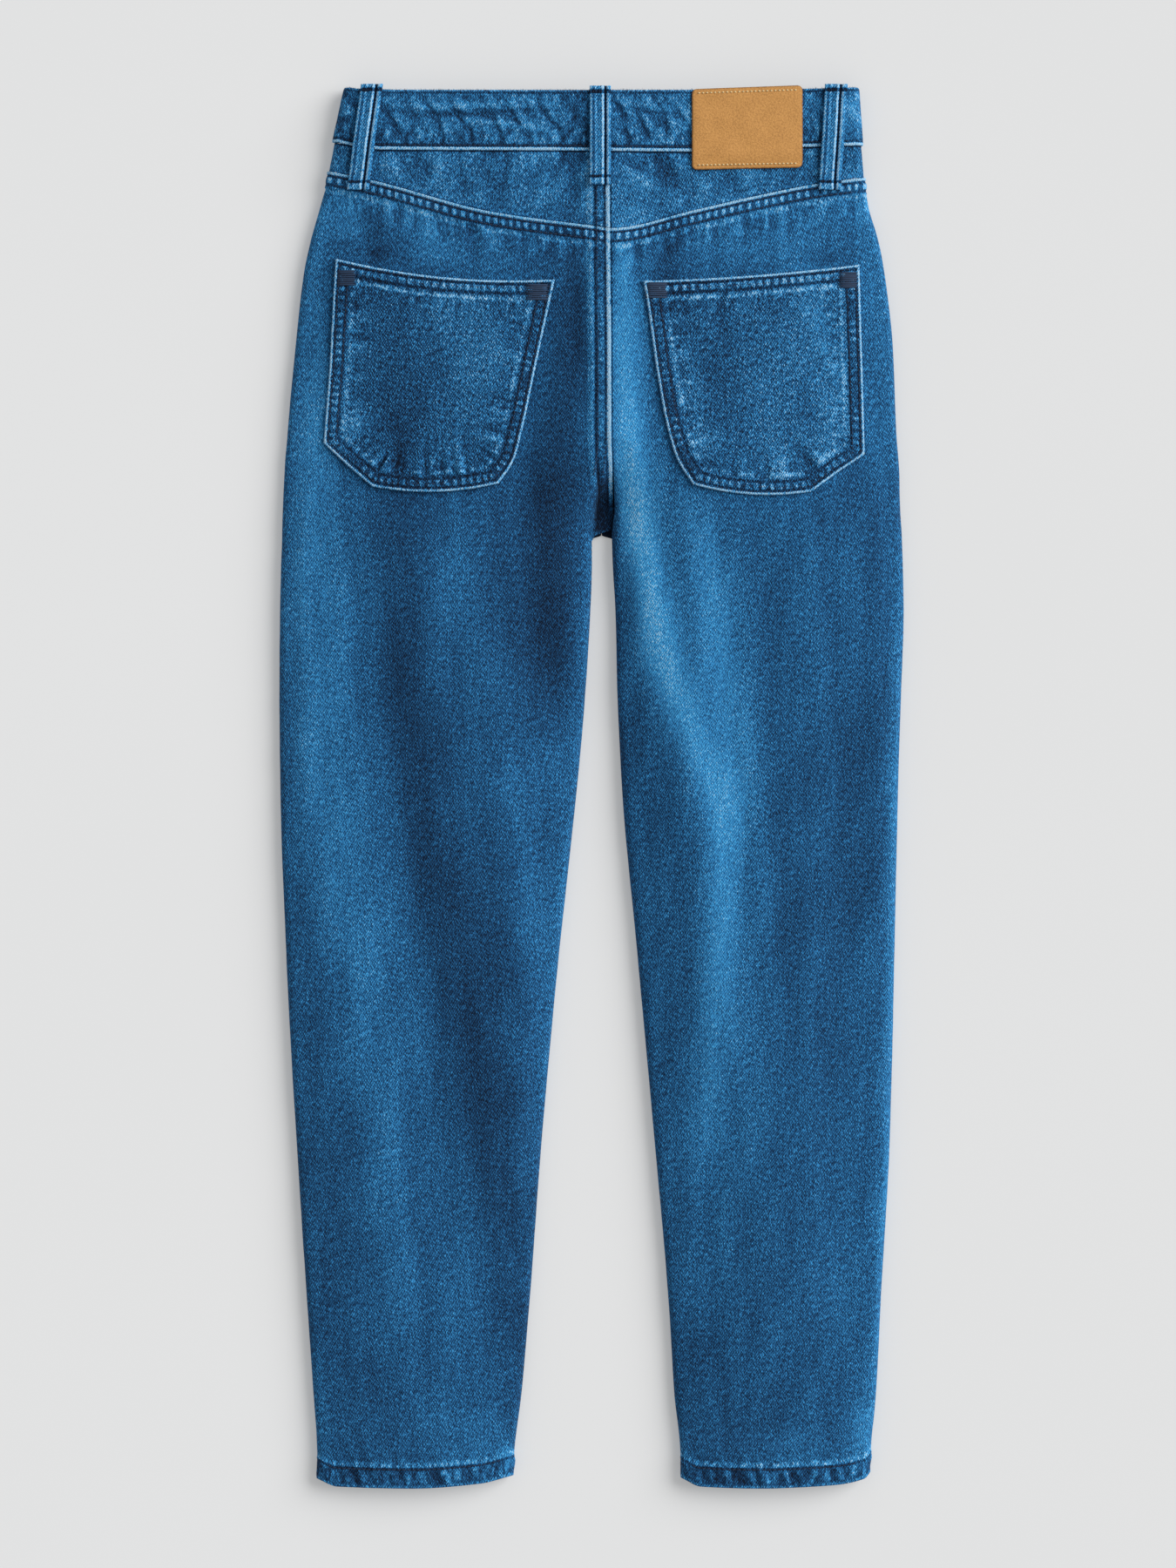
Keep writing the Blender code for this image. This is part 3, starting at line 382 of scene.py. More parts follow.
def section_path(side, y):
    """Points (x, z) of one back's outer face across at y, from its side seam to its inner seam."""
    sign = SIGN[side]
    outer = float(outline(side + "_side", y))
    inner = float(visual_inner(side, y))
    lift = float(floor_lift(y))
    path = [(outer + sign * TURN_UNDER, lift)]
    for angle in np.radians(np.linspace(-90.0, 0.0, EDGE_POINTS)):
        x = outer + sign * EDGE_RADIUS * (1.0 - math.cos(angle))
        path.append((x, lift + EDGE_RADIUS * (1.0 + math.sin(angle))))
    reach = abs(inner - outer)
    near = EDGE_RADIUS * (1.0 - np.cos(np.radians(np.linspace(4.0, 90.0, EDGE_POINTS))))
    between = np.linspace(EDGE_RADIUS, reach - EDGE_RADIUS, PANEL_POINTS)[1:-1]
    spread = np.concatenate([near, between, reach - near[::-1], [reach]])
    x = outer + sign * spread
    height = back_height(side, x, np.full_like(x, y))
    if side == "left":
        height = height - RECESS_DEPTH * recess(side, x, y) * smooth_step(y, 151.0, 158.0)
    path.extend(zip(x, np.maximum(height, lift + LEAST_HEIGHT)))
    turn = float(smooth_step(y, INSEAM_TURN_START, INSEAM_TURN_END))
    if turn > 0.0:
        for angle in np.radians(np.linspace(0.0, -90.0 * turn, EDGE_POINTS))[1:]:
            x_turn = inner - sign * EDGE_RADIUS * (1.0 - math.cos(angle))
            path.append((x_turn, lift + EDGE_RADIUS * (1.0 + math.sin(angle))))
        flap = float(smooth_step(y, INSEAM_TURN_END, INSEAM_FLAP_END))
        if flap > 0.0:
            path.append((inner - sign * (EDGE_RADIUS + flap * (TURN_UNDER - EDGE_RADIUS)), lift))
    return np.array(path)


STATIONS = np.arange(-424.0, 426.0, 2.5)


def section_lengths(section):
    """How far along a section each of its points (x, z) lies."""
    return np.concatenate([[0.0], np.cumsum(np.hypot(*np.diff(section, axis=0).T))])


def column_tracks(side, middle):
    """Where every column runs: x, z, and the distances from both seams, for each station along y."""
    x, z, from_side, from_seam = [], [], [], []
    share = (np.arange(middle) + 1.0) / (middle + 1.0)
    for y in STATIONS:
        path = section_path(side, y)
        lengths = section_lengths(path)
        total = lengths[-1]
        start = SIDE_SPACING[-1]
        stop = total - SEAM_SPACING[0]
        places = np.concatenate([SIDE_SPACING, start + (stop - start) * share, total - SEAM_SPACING])
        x.append(np.interp(places, lengths, path[:, 0]))
        z.append(np.interp(places, lengths, path[:, 1]))
        from_side.append(places)
        from_seam.append(total - places)
    return tuple(np.array(a) for a in (x, z, from_side, from_seam))


def at_station(track, y):
    """Read a track at y, where y has a row of values for each column."""
    return np.stack([np.interp(y[:, c], STATIONS, track[:, c]) for c in range(track.shape[1])], axis=1)


def edge_spacing(fine, step, reach):
    """Distances from an edge: fine near it, then even steps."""
    return np.concatenate([fine, np.arange(fine[-1] + step, reach, step)])


FINE_EDGE = (0.0, 0.3, 0.9, 1.5, 2.2, 3.0, 4.0, 5.0, 6.0, 6.8, 7.6, 8.6, 9.6, 10.3, 11.2, 12.2)
SIDE_SPACING = edge_spacing((0.0, 2.5, 5.0), 1.1, 26.0)
SEAM_SPACING = edge_spacing(FINE_EDGE, 1.2, 30.0)[::-1]
TOP_SPACING = edge_spacing(FINE_EDGE, 1.6, 46.0)
HEM_EDGE = (0.0, 0.5, 1.2, 2.2, 3.4, 4.8, 6.2, 7.6, 9.0, 10.2, 11.2, 12.0, 12.9, 14.0)
HEM_SPACING = edge_spacing(HEM_EDGE, 1.8, 30.0)[::-1]

Grid = namedtuple("Grid", "points from_side from_seam from_top from_foot along")


def meet_lines(side, tracks, line):
    """Where each column meets a line given as a function of x."""
    x_track = tracks[0]
    y = np.full(x_track.shape[1], float(line(0.0 if side == "left" else 20.0)))
    for _ in range(4):
        y_row = y[None, :]
        x = at_station(x_track, y_row)[0]
        turned = at_station(tracks[2], y_row)[0] < TURNED_LENGTH
        x = np.where(turned, outline(side + "_side", y), x)
        turned = (at_station(tracks[3], y_row)[0] < TURNED_LENGTH) & (y < INSEAM_FLAP_END)
        x = np.where(turned, outline(side + "_inner", y), x)
        y = line(x)
    return y


def back_grid(side, top_line, foot_line, top_rows, middle, foot_rows, middle_columns):
    """Fine grid of a piece of the back between two lines."""
    tracks = column_tracks(side, middle_columns)
    top = meet_lines(side, tracks, top_line)
    foot = meet_lines(side, tracks, foot_line)
    upper = top[None, :] - np.array(top_rows)[:, None]
    lower = foot[None, :] + np.array(foot_rows)[:, None]
    share = ((np.arange(middle) + 1.0) / (middle + 1.0))[:, None]
    y = np.concatenate([upper, upper[-1:] + (lower[:1] - upper[-1:]) * share, lower])
    x, z, from_side, from_seam = (at_station(track, y) for track in tracks)
    points = np.stack([x, y, z], axis=-1)
    return Grid(points, from_side, from_seam, top[None, :] - y, y - foot[None, :], x)


def grid_normals(points):
    """Unit normals of a grid of points, up at its middle."""
    normals = np.cross(np.gradient(points, axis=1), -np.gradient(points, axis=0))
    normals /= np.linalg.norm(normals, axis=2, keepdims=True)
    middle = normals[normals.shape[0] // 2, normals.shape[1] // 2]
    return normals if middle[2] > 0.0 else -normals


# Meshes

def grid_faces(rows, cols):
    """Faces of a closed wall between two grids, and its rim."""
    a = (np.arange(rows - 1)[:, None] * cols + np.arange(cols - 1)[None, :]).ravel()
    top = np.stack([a, a + cols, a + cols + 1, a + 1], axis=1)
    under = top[:, ::-1] + rows * cols
    rim = np.concatenate([
        np.arange(cols), np.arange(1, rows) * cols + cols - 1,
        (rows - 1) * cols + np.arange(cols - 2, -1, -1), np.arange(rows - 2, 0, -1) * cols,
    ])
    following = np.roll(rim, -1)
    side = np.stack([rim, following, following + rows * cols, rim + rows * cols], axis=1)
    return np.concatenate([top, under, side])


def signed_volume(points, faces):
    """Volume of a closed mesh of quads, negative if its faces point inwards."""
    corners = points[faces]
    first = np.einsum("ij,ij->i", corners[:, 0], np.cross(corners[:, 1], corners[:, 2]))
    second = np.einsum("ij,ij->i", corners[:, 0], np.cross(corners[:, 2], corners[:, 3]))
    return float(first.sum() + second.sum())


def mesh_from(name, points, faces, finish, fields=None):
    """A smooth shaded object from points in millimetres, with float fields kept on its points."""
    points = points * MM
    if signed_volume(points, faces) < 0.0:
        faces = faces[:, ::-1]
    mesh = bpy.data.meshes.new(name)
    mesh.vertices.add(len(points))
    mesh.vertices.foreach_set("co", points.astype(np.float32).ravel())
    mesh.loops.add(faces.size)
    mesh.loops.foreach_set("vertex_index", faces.astype(np.int32).ravel())
    mesh.polygons.add(len(faces))
    mesh.polygons.foreach_set("loop_start", np.arange(0, faces.size, faces.shape[1], dtype=np.int32))
    mesh.polygons.foreach_set("use_smooth", np.ones(len(faces), dtype=bool))
    mesh.update(calc_edges=True)
    mesh.validate()
    for key, values in (fields or {}).items():
        layer = mesh.attributes.new(key, "FLOAT", "POINT")
        layer.data.foreach_set("value", np.asarray(values, dtype=np.float32).ravel())
    mesh.materials.append(finish)
    piece = bpy.data.objects.new(name, mesh)
    bpy.context.scene.collection.objects.link(piece)
    return piece


def wall_piece(name, outer, inner, finish, fields):
    """A closed cloth wall between two grids, with the fields on both faces."""
    rows, cols = outer.shape[:2]
    points = np.concatenate([outer.reshape(-1, 3), inner.reshape(-1, 3)])
    doubled = {key: np.concatenate([np.ravel(v), np.ravel(v)]) for key, v in fields.items()}
    return mesh_from(name, points, grid_faces(rows, cols), finish, doubled)


def dress(piece, node, flat):
    """Ride and replace one cloth piece."""
    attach(piece, "root")
    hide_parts(node)


# Relief of seams, as heights over the cloth: ridges and grooves by their place in from the edge
Ridge = namedtuple("Ridge", "height place width")
FELL_RIDGES = (Ridge(0.35, 0.7, 1.3), Ridge(-0.45, 2.4, 1.3), Ridge(-0.5, 7.8, 1.6))
SEAT_RIDGES = (Ridge(0.4, 1.7, 2.2), Ridge(-0.45, 3.8, 1.5), Ridge(-0.7, 9.6, 1.8))
HEM_RIDGES = (Ridge(-0.55, HEM_DEPTH - HEM_STITCH_IN, 1.6),)
WAISTBAND_RIDGES = (Ridge(0.25, 0.9, 1.4), Ridge(-0.55, 2.8, 1.9))
POCKET_RIDGES = (Ridge(0.45, 0.8, 1.3), Ridge(-0.45, 2.5, 1.3), Ridge(-0.5, 7.9, 1.6))
LOOP_RIDGES = (
    Ridge(-1.1, 9.4, 1.5), Ridge(0.4, 7.7, 1.6), Ridge(0.35, 11.2, 1.6), Ridge(0.25, 1.6, 2.4),
    Ridge(-0.25, 4.4, 3.0),
)
LADDER_PITCH = 4.9
STITCH_PITCH = 3.0
FELL_PUCKER_DEPTH = 0.75
SEAT_FELL_REACH = 16.0


def ridges(distance, table):
    """Total of the ridges and grooves of one seam."""
    return sum(ridge.height * bump(distance, ridge.place, ridge.width) for ridge in table)


def uneven_along(along, seed):
    """A place along a seam, shifted a little so that what repeats there is uneven."""
    return along + 1.1 * waves(along, 0.0 * along, seed, 40.0, 40.0, 6)


def ladder(along, seed):
    """Humps between two rows of stitches, a little uneven in length and height."""
    height = 0.75 + 0.3 * waves(along, 0.0 * along, seed + 1, 17.0, 17.0, 6)
    return height * (0.5 + 0.5 * np.sin(2.0 * math.pi * uneven_along(along, seed) / LADDER_PITCH))


def fell_band(distance, along, seed):
    """A felled seam: a rolled edge, two stitched grooves with humps between, and a step down."""
    body = FELL_RAISE * smooth_step(distance, 10.6, 9.2)
    humps = 0.55 * ladder(along, seed) * bump(distance, 5.0, 3.8)
    return np.where(distance < 11.5, body + ridges(distance, FELL_RIDGES) + humps, 0.0)


def fell_puckers(distance, along, seed):
    """Puckers that run out of a seam and fade, some short and some long."""
    fade = smooth_step(distance, 8.5, 11.0)
    short = np.exp(-np.clip(distance - 10.0, 0.0, None) / 8.0)
    long = np.exp(-np.clip(distance - 10.0, 0.0, None) / 22.0)
    fine = waves(along, 0.12 * distance, seed, 7.5, 60.0, 12)
    broad = waves(along, 0.16 * distance, seed + 3, 17.0, 90.0, 10)
    return FELL_PUCKER_DEPTH * fade * (0.7 * fine * short + 0.75 * broad * long)


def seat_fell(from_seam, y, seed):
    """The felled seat seam on the left: two soft rails with a groove, and a rolled edge at the seam."""
    on = smooth_step(y, LEG_BLEND_END + 2.0, LEG_BLEND_START - 30.0)
    body = FELL_RAISE * smooth_step(from_seam, 15.6, 11.8)
    rough = 0.15 * waves(from_seam, y, seed, 5.0, 9.0, 10)
    profile = body + ridges(from_seam, SEAT_RIDGES) + rough * smooth_step(from_seam, 14.0, 10.0)
    return np.where(from_seam < 16.5, on * profile, 0.0)


def hem_body(from_foot):
    """The doubled cloth of a turned-up hem."""
    return HEM_RAISE * smooth_step(from_foot, HEM_DEPTH + 0.9, HEM_DEPTH - 0.4)


def hem_profile(from_foot):
    """A turned-up hem with its stitched groove."""
    return hem_body(from_foot) + ridges(from_foot, HEM_RIDGES)


def hem_puckers(from_foot, along, seed):
    """Slanting puckers below the hem's stitches, and short ones above them."""
    folds = waves(along + 0.35 * from_foot, 0.1 * from_foot, seed, 8.5, 60.0, 12)
    inside = smooth_step(from_foot, 0.0, 4.0) * smooth_step(from_foot, HEM_DEPTH + 0.5, HEM_DEPTH - 3.0)
    above = np.exp(-np.clip(from_foot - HEM_DEPTH, 0.0, None) / 8.0)
    above = above * smooth_step(from_foot, HEM_DEPTH, HEM_DEPTH + 1.5)
    return folds * (0.55 * inside + 0.35 * above)


def soft_cloth(x, y, seed):
    """Faint unevenness of washed cloth."""
    long_waves = 0.16 * waves(x, y, seed, 26.0, 90.0, 16)
    return long_waves + 0.09 * waves(x, y, seed + 5, 11.0, 22.0, 16)


# Where the wash has left the cloth paler or darker, and painted shade and painted highlights: the shading of
# the folds, bright rims along edges that face the light, shadows beside the belt loops and above the pocket
# mouths, and light painted in where shadows fall at the hems and beside the patch. Each band runs along its
# path from top to foot
Band = namedtuple("Band", "amount half_width path")
WASH_AND_SHADE_BANDS = (
    # These first three bands are painted highlights on the right leg's fold ridges, partly real wash fade
    Band(0.86, 14, ((19, 338), (19, 270), (21, 206), (23, 178), (28, 150), (40, 92), (54, 48), (70, 4),
                    (79, -40), (75, -120), (68, -200))),
    Band(0.34, 15, ((26, 218), (32, 170), (38, 120), (46, 44))),
    Band(0.60, 14, ((60, 170), (71, 120), (80, 60), (86, 20), (86, -20))),
    Band(0.16, 30, ((88, 186), (90, 150), (94, 90), (96, 40))),
    Band(-0.14, 40, ((-110, -190), (-106, -290), (-104, -410))),
    Band(-0.14, 40, ((104, -220), (104, -300), (106, -410))),
    Band(-0.12, 13, ((14, 110), (18, 80), (25, 40), (32, 0), (44, -60), (54, -130), (58, -260))),
    Band(0.16, 18, ((96, -80), (96, -140), (84, -210), (72, -300))),
    Band(-0.18, 22, ((112, 110), (118, 20), (112, -100), (124, -180))),
    Band(-0.18, 14, ((132, -50), (136, -110), (148, -170), (154, -220))),
    Band(-0.18, 10, ((132, 176), (134, 140), (134, 100))),
    Band(-0.24, 10, ((150, 60), (153, -20), (150, -90))),
    Band(-0.40, 10, ((164, 180), (170, 110), (171, 0), (168, -100))),
    # Painted highlight: a bright rim along the right leg's outer edge, which faces the light
    Band(0.60, 5, ((184, 90), (181, -40), (178, -200), (167, -400))),
    Band(0.52, 15, ((130, 314), (139, 266), (147, 220), (150, 196))),
    Band(0.30, 13, ((166, 362), (172, 318), (178, 250), (180, 180))),
    Band(-0.20, 13, ((60, 300), (72, 268), (80, 232), (82, 204))),
    # Painted shade on the folds of the left leg beside the seat seam, partly real wash
    Band(-0.62, 15, ((-12, 325), (-12, 260), (-22, 190), (-26, 120), (-22, 50))),
    Band(-0.30, 24, ((-22, 190), (-34, 130), (-38, 70))),
    Band(-0.58, 18, ((-120, 300), (-115, 240), (-113, 110), (-98, -30), (-72, -160), (-42, -300))),
    Band(0.16, 16, ((-124, 186), (-122, 150), (-120, 110))),
    Band(-0.24, 15, ((-70, -60), (-60, -130), (-52, -200))),
    Band(-0.26, 22, ((-66, 205), (-66, 110), (-60, 30))),
    Band(-0.34, 16, ((-52, 44), (-51, 4), (-54, -60), (-42, -140))),
    Band(-0.20, 8, ((-26, 70), (-26, 45), (-24, 25))),
    Band(0.24, 16, ((-74, 298), (-74, 270), (-72, 238))),
    Band(0.28, 15, ((-80, 160), (-66, 70), (-40, -30), (-28, -120))),
    Band(0.48, 20, ((-164, 280), (-164, 100), (-160, 20), (-148, -70), (-138, -120))),
    Band(0.10, 18, ((-136, -110), (-120, -220), (-106, -310), (-96, -390))),
    Band(0.06, 20, ((-84, -150), (-76, -220), (-72, -300))),
    Band(-0.16, 12, ((-172, -120), (-166, -250), (-158, -390))),
    Band(-0.34, 8, ((-44, -300), (-44, -340), (-48, -378))),
    Band(0.30, 26, ((-76, -372), (-70, -392), (-66, -414))),
    Band(0.22, 30, ((112, -384), (116, -400), (118, -416))),
    # These two add painted light where shadows fall at the corners of the hems
    Band(0.50, 8, ((160, -370), (161, -395), (162, -412))),
    Band(0.50, 7, ((-50, -394), (-50, -404), (-50, -412))),
    Band(-0.15, 20, ((-136, -340), (-132, -380), (-132, -405))),
    Band(-0.16, 12, ((68, -330), (70, -370), (72, -402))),
    # Painted highlight along the left leg's inner edge
    Band(0.20, 5, ((0, 160), (-2, 60), (-9, 0), (-20, -110), (-30, -210))),
    Band(0.52, 18, ((-110, 352), (-102, 336), (-90, 312))),
    Band(0.26, 36, ((80, 352), (84, 334), (88, 312))),
    Band(0.24, 26, ((120, 354), (124, 336), (128, 312))),
    Band(-0.30, 7, ((48, 346), (47, 330), (44, 310))),
    Band(0.44, 11, ((-33, 396), (-32, 376), (-26, 350))),
    Band(0.24, 26, ((-98, 378), (-94, 368), (-84, 350))),
    Band(0.62, 12, ((-145, 358), (-146, 344), (-146, 328))),
    # Painted highlight along the left leg's outer edge below the waist
    Band(0.34, 9, ((-158, 390), (-165, 345), (-172, 305), (-176, 258))),
    Band(-0.28, 7, ((-126, 342), (-125, 328), (-124, 314))),
    Band(0.62, 8, ((155, 414), (155, 396), (154, 382))),
    Band(0.44, 10, ((156, 368), (157, 354), (160, 338))),
    # Painted shadow to the left of the left belt loop
    Band(-0.30, 15, ((-142, 420), (-138, 400), (-134, 382))),
    # Painted light that pales the patch's shadow on its left
    Band(0.34, 7, ((55, 414), (56, 400), (56, 384))),
    # These two are painted shadows above the pockets' mouths
    Band(-0.34, 18, ((138, 322), (138, 317), (138, 311))),
    Band(-0.30, 8, ((-127, 322), (-127, 317), (-127, 312))),
    Band(-0.34, 6, ((9, 318), (10, 304), (11, 284))),
    # These two add painted light along the leg edges near the hems, where shadows fall
    Band(0.40, 5, ((-166, -340), (-165, -380), (-164, -412))),
    Band(0.40, 5, ((52, -384), (53, -400), (54, -412))),
    Band(-0.40, 12, ((38, 308), (42, 296), (46, 282))),
    Band(-0.30, 8, ((146, 306), (146, 296), (147, 284))),
    Band(-0.30, 9, ((-142, 304), (-141, 294), (-138, 282))),
    Band(0.20, 10, ((112, 256), (108, 215), (104, 182))),
    Band(0.20, 8, ((52, 264), (60, 225), (68, 196))),
    # Painted shade along the right leg's inner edge
    Band(-0.14, 6, ((15, 150), (17, 80), (20, 10))),
    Band(0.14, 12, ((66, -200), (70, -260), (74, -320))),
    Band(0.20, 10, ((152, -290), (155, -340), (158, -385))),
    Band(0.14, 22, ((-132, -130), (-130, -190), (-128, -260))),
    Band(0.12, 18, ((-76, -310), (-72, -345), (-72, -375))),
    Band(0.24, 9, ((34, 388), (34, 370), (36, 352))),
    # Painted shadow to the left of the centre back belt loop
    Band(-0.40, 9, ((-8, 416), (-6, 398), (-4, 372))),
    Band(-0.20, 9, ((-54, 384), (-54, 366), (-52, 346))),
)


def band_field(x, y, bands):
    """Soft bands along their paths, which fade at both ends and to both sides."""
    total = np.zeros(np.broadcast(x, y).shape)
    for b in bands:
        low, high = b.path[-1][1], b.path[0][1]
        tail = 0.16 * (high - low)
        centre = smooth_curve(y, [place[1] for place in b.path[::-1]], [place[0] for place in b.path[::-1]])
        fade = smooth_step(y, low - tail, low + tail) * smooth_step(y, high + tail, high - tail)
        total = total + b.amount * fade * np.exp(-0.5 * ((x - centre) / (0.7 * b.half_width)) ** 2)
    return total


def wash(x, y):
    """Broad wash and painted shade from the table, with some unevenness."""
    uneven = 0.07 * waves(x, y, 71, 60.0, 200.0, 12) + 0.06 * waves(x, y, 72, 14.0, 60.0, 12)
    return uneven + 0.05 * waves(x, y, 73, 5.0, 24.0, 16) + band_field(x, y, WASH_AND_SHADE_BANDS)


# Node materials

class Wire:
    """A socket in a node graph that arithmetic can be written with."""

    def __init__(self, graph, socket):
        self.graph, self.socket = graph, socket

    def __add__(self, other):
        return self.graph.maths("ADD", self, other)

    def __sub__(self, other):
        return self.graph.maths("SUBTRACT", self, other)

    def __mul__(self, other):
        return self.graph.maths("MULTIPLY", self, other)

    def __rmul__(self, other):
        return self.graph.maths("MULTIPLY", self, other)

    def __radd__(self, other):
        return self.graph.maths("ADD", self, other)

    def __rsub__(self, other):
        return self.graph.maths("SUBTRACT", other, self)


class Graph:
    """A material and short ways to add nodes to it."""

    def __init__(self, name):
        self.material = bpy.data.materials.new(name)
        self.material.use_nodes = True
        self.tree = self.material.node_tree
        self.shader = self.tree.nodes["Principled BSDF"]

    def node(self, kind, **values):
        made = self.tree.nodes.new(kind)
        for key, value in values.items():
            setattr(made, key, value)
        return made

    def plug(self, value, socket):
        if isinstance(value, Wire):
            self.tree.links.new(value.socket, socket)
        else:
            socket.default_value = value

    def maths(self, operation, a, b=0.0):
        made = self.node("ShaderNodeMath", operation=operation)
        for value, socket in zip((a, b), made.inputs):
            self.plug(value, socket)
        return Wire(self, made.outputs[0])

    def field(self, name):
        made = self.node("ShaderNodeAttribute", attribute_name=name)
        return Wire(self, made.outputs["Fac"])

    def vector(self, x, y, z=0.0):
        made = self.node("ShaderNodeCombineXYZ")
        for value, socket in zip((x, y, z), made.inputs):
            self.plug(value, socket)
        return Wire(self, made.outputs[0])

    def noise(self, vector, scale, detail=2.0, roughness=0.5):
        made = self.node("ShaderNodeTexNoise")
        self.plug(vector, made.inputs["Vector"])
        made.inputs["Scale"].default_value = scale
        made.inputs["Detail"].default_value = detail
        made.inputs["Roughness"].default_value = roughness
        return Wire(self, made.outputs["Fac"])

    def step(self, value, start, end):
        """0 at start and 1 at end, softly."""
        made = self.node("ShaderNodeMapRange", interpolation_type="SMOOTHSTEP")
        self.plug(value, made.inputs["Value"])
        reverse = start > end
        made.inputs["From Min"].default_value = min(start, end)
        made.inputs["From Max"].default_value = max(start, end)
        made.inputs["To Min"].default_value = 1.0 if reverse else 0.0
        made.inputs["To Max"].default_value = 0.0 if reverse else 1.0
        return Wire(self, made.outputs["Result"])

    def band(self, value, start, end, soft):
        """1 between start and end, with soft sides."""
        return self.step(value, start - soft, start + soft) * self.step(value, end + soft, end - soft)

    def ramp(self, value, stops):
        made = self.node("ShaderNodeValToRGB")
        self.plug(value, made.inputs["Fac"])
        elements = made.color_ramp.elements
        while len(elements) < len(stops):
            elements.new(0.5)
        for element, (place, colour) in zip(elements, stops):
            element.position = place
            element.color = (*colour, 1.0)
        return Wire(self, made.outputs["Color"])

    def colour(self, value, stops):
        """Colour the surface by a value."""
        self.plug(self.ramp(value, stops), self.shader.inputs["Base Color"])

    def own_noise(self, scale, detail):
        """Noise in the piece's own coordinates, in metres."""
        place = self.node("ShaderNodeTexCoord")
        return self.noise(Wire(self, place.outputs["Object"]), scale, detail)

    def relief(self, height, distance):
        """Turn a height in units of distance metres into the shader's normal."""
        made = self.node("ShaderNodeBump")
        made.inputs["Distance"].default_value = distance
        self.plug(height, made.inputs["Height"])
        self.tree.links.new(made.outputs["Normal"], self.shader.inputs["Normal"])


# Denim: a right-hand twill, slanting flecks, wash with painted shade and highlights, and worn seams. Colours
# run from raw indigo to white
TWILL_PITCH = 1.25
TWILL_ACROSS = 0.827
TWILL_DOWN = 0.5625
FLECK_ACROSS = 0.906
FLECK_DOWN = 0.423
INDIGO = (
    (0.00, (0.0015, 0.0055, 0.017)),
    (0.25, (0.0045, 0.0330, 0.093)),
    (0.50, (0.0115, 0.0880, 0.222)),
    (0.73, (0.0330, 0.2350, 0.530)),
    (0.87, (0.0540, 0.3650, 0.730)),
    (0.94, (0.0850, 0.4850, 0.850)),
    (1.00, (0.3600, 0.5900, 0.790)),
)
DENIM_SHADE = 0.49
LOOP_SHADE = 0.575
WASH_AND_SHADE_SHARE = 0.30
CREST_SHARE = 0.20
MOTTLE_SHARE = 0.08
Seam = namedtuple("Seam", "distance along kind shown", defaults=("",))
Strip = namedtuple("Strip", "amount start stop soft pattern")
SEAT_SEAM = Seam("from_seam", "v", "seat", "seat_on")

# Across each kind of seam, from its edge inwards: worn pale strips, dark stitched ones and painted shadow
# under edges, in millimetres
SEAM_STRIPS = {
    "fell": (
        Strip(0.64, -0.1, 1.5, 0.3, "rope"), Strip(-0.30, 1.9, 3.1, 0.4, "stitches"),
        Strip(0.50, 3.1, 6.7, 0.6, "rungs"), Strip(-0.17, 2.8, 7.0, 0.4, "even"),
        Strip(-0.27, 7.0, 8.6, 0.4, "stitches"), Strip(0.36, 9.2, 12.2, 1.0, "fringe"),
        Strip(0.20, 10.5, 22.0, 4.0, "streaks"),
    ),
    "pocket": (
        Strip(0.70, 0.0, 1.3, 0.25, "rope"), Strip(-0.34, 1.7, 3.0, 0.4, "stitches"),
        Strip(-0.17, 2.6, 8.8, 0.6, "even"), Strip(-0.16, 7.2, 8.5, 0.4, "stitches"),
        Strip(0.38, 10.4, 12.6, 0.8, "fringe"), Strip(0.24, 11.0, 20.0, 4.0, "streaks"),
    ),
    "pocket_rungs": (Strip(0.42, 3.1, 6.8, 0.6, "rungs"),),
    "mouth": (
        Strip(0.24, 3.3, 6.4, 0.5, "rungs"),
        Strip(0.40, 9.4, 11.6, 0.7, "fringe"),
    ),
    "foot_edge": (
        Strip(0.68, 0.0, 1.8, 0.35, "rope"), Strip(-0.36, 2.1, 3.9, 0.5, "stitches"),
        Strip(0.34, 3.6, 12.0, 2.5, "streaks"), Strip(-0.06, 3.0, 11.0, 2.0, "even"),
    ),
    # A dark line of painted shadow just under the waistband's foot, and pale streaks below it
    "under_edge": (Strip(-0.42, -1.0, 0.9, 0.4, "even"), Strip(0.15, 2.0, 13.0, 4.0, "streaks")),
    "top_edge": (
        Strip(0.30, -0.4, 0.9, 0.3, "fringe"), Strip(-0.26, 1.2, 2.4, 0.5, "even"),
        Strip(0.22, 2.8, 8.0, 2.0, "streaks"),
    ),
    "hem": (
        Strip(0.22, 0.0, 1.8, 0.7, "fringe"), Strip(-0.10, 1.5, 10.5, 1.0, "even"),
        Strip(-0.34, 10.6, 12.2, 0.4, "stitches"), Strip(0.40, 12.3, 15.2, 0.9, "fringe"),
        Strip(0.34, 2.0, 10.0, 1.5, "streaks"),
    ),
    "seat": (
        # The dark strip at the seam's very edge is painted shadow beside the rolled edge
        Strip(0.72, 0.6, 2.8, 0.35, "rope"), Strip(-0.34, -1.0, 0.3, 0.3, "even"),
        Strip(-0.24, 3.3, 4.3, 0.4, "even"), Strip(-0.30, 9.0, 10.2, 0.4, "even"),
        Strip(0.22, 10.9, 14.6, 0.8, "twill"), Strip(-0.15, 4.4, 8.9, 0.6, "even"),
        Strip(0.34, 4.8, 8.5, 0.7, "fringe"),
    ),
}


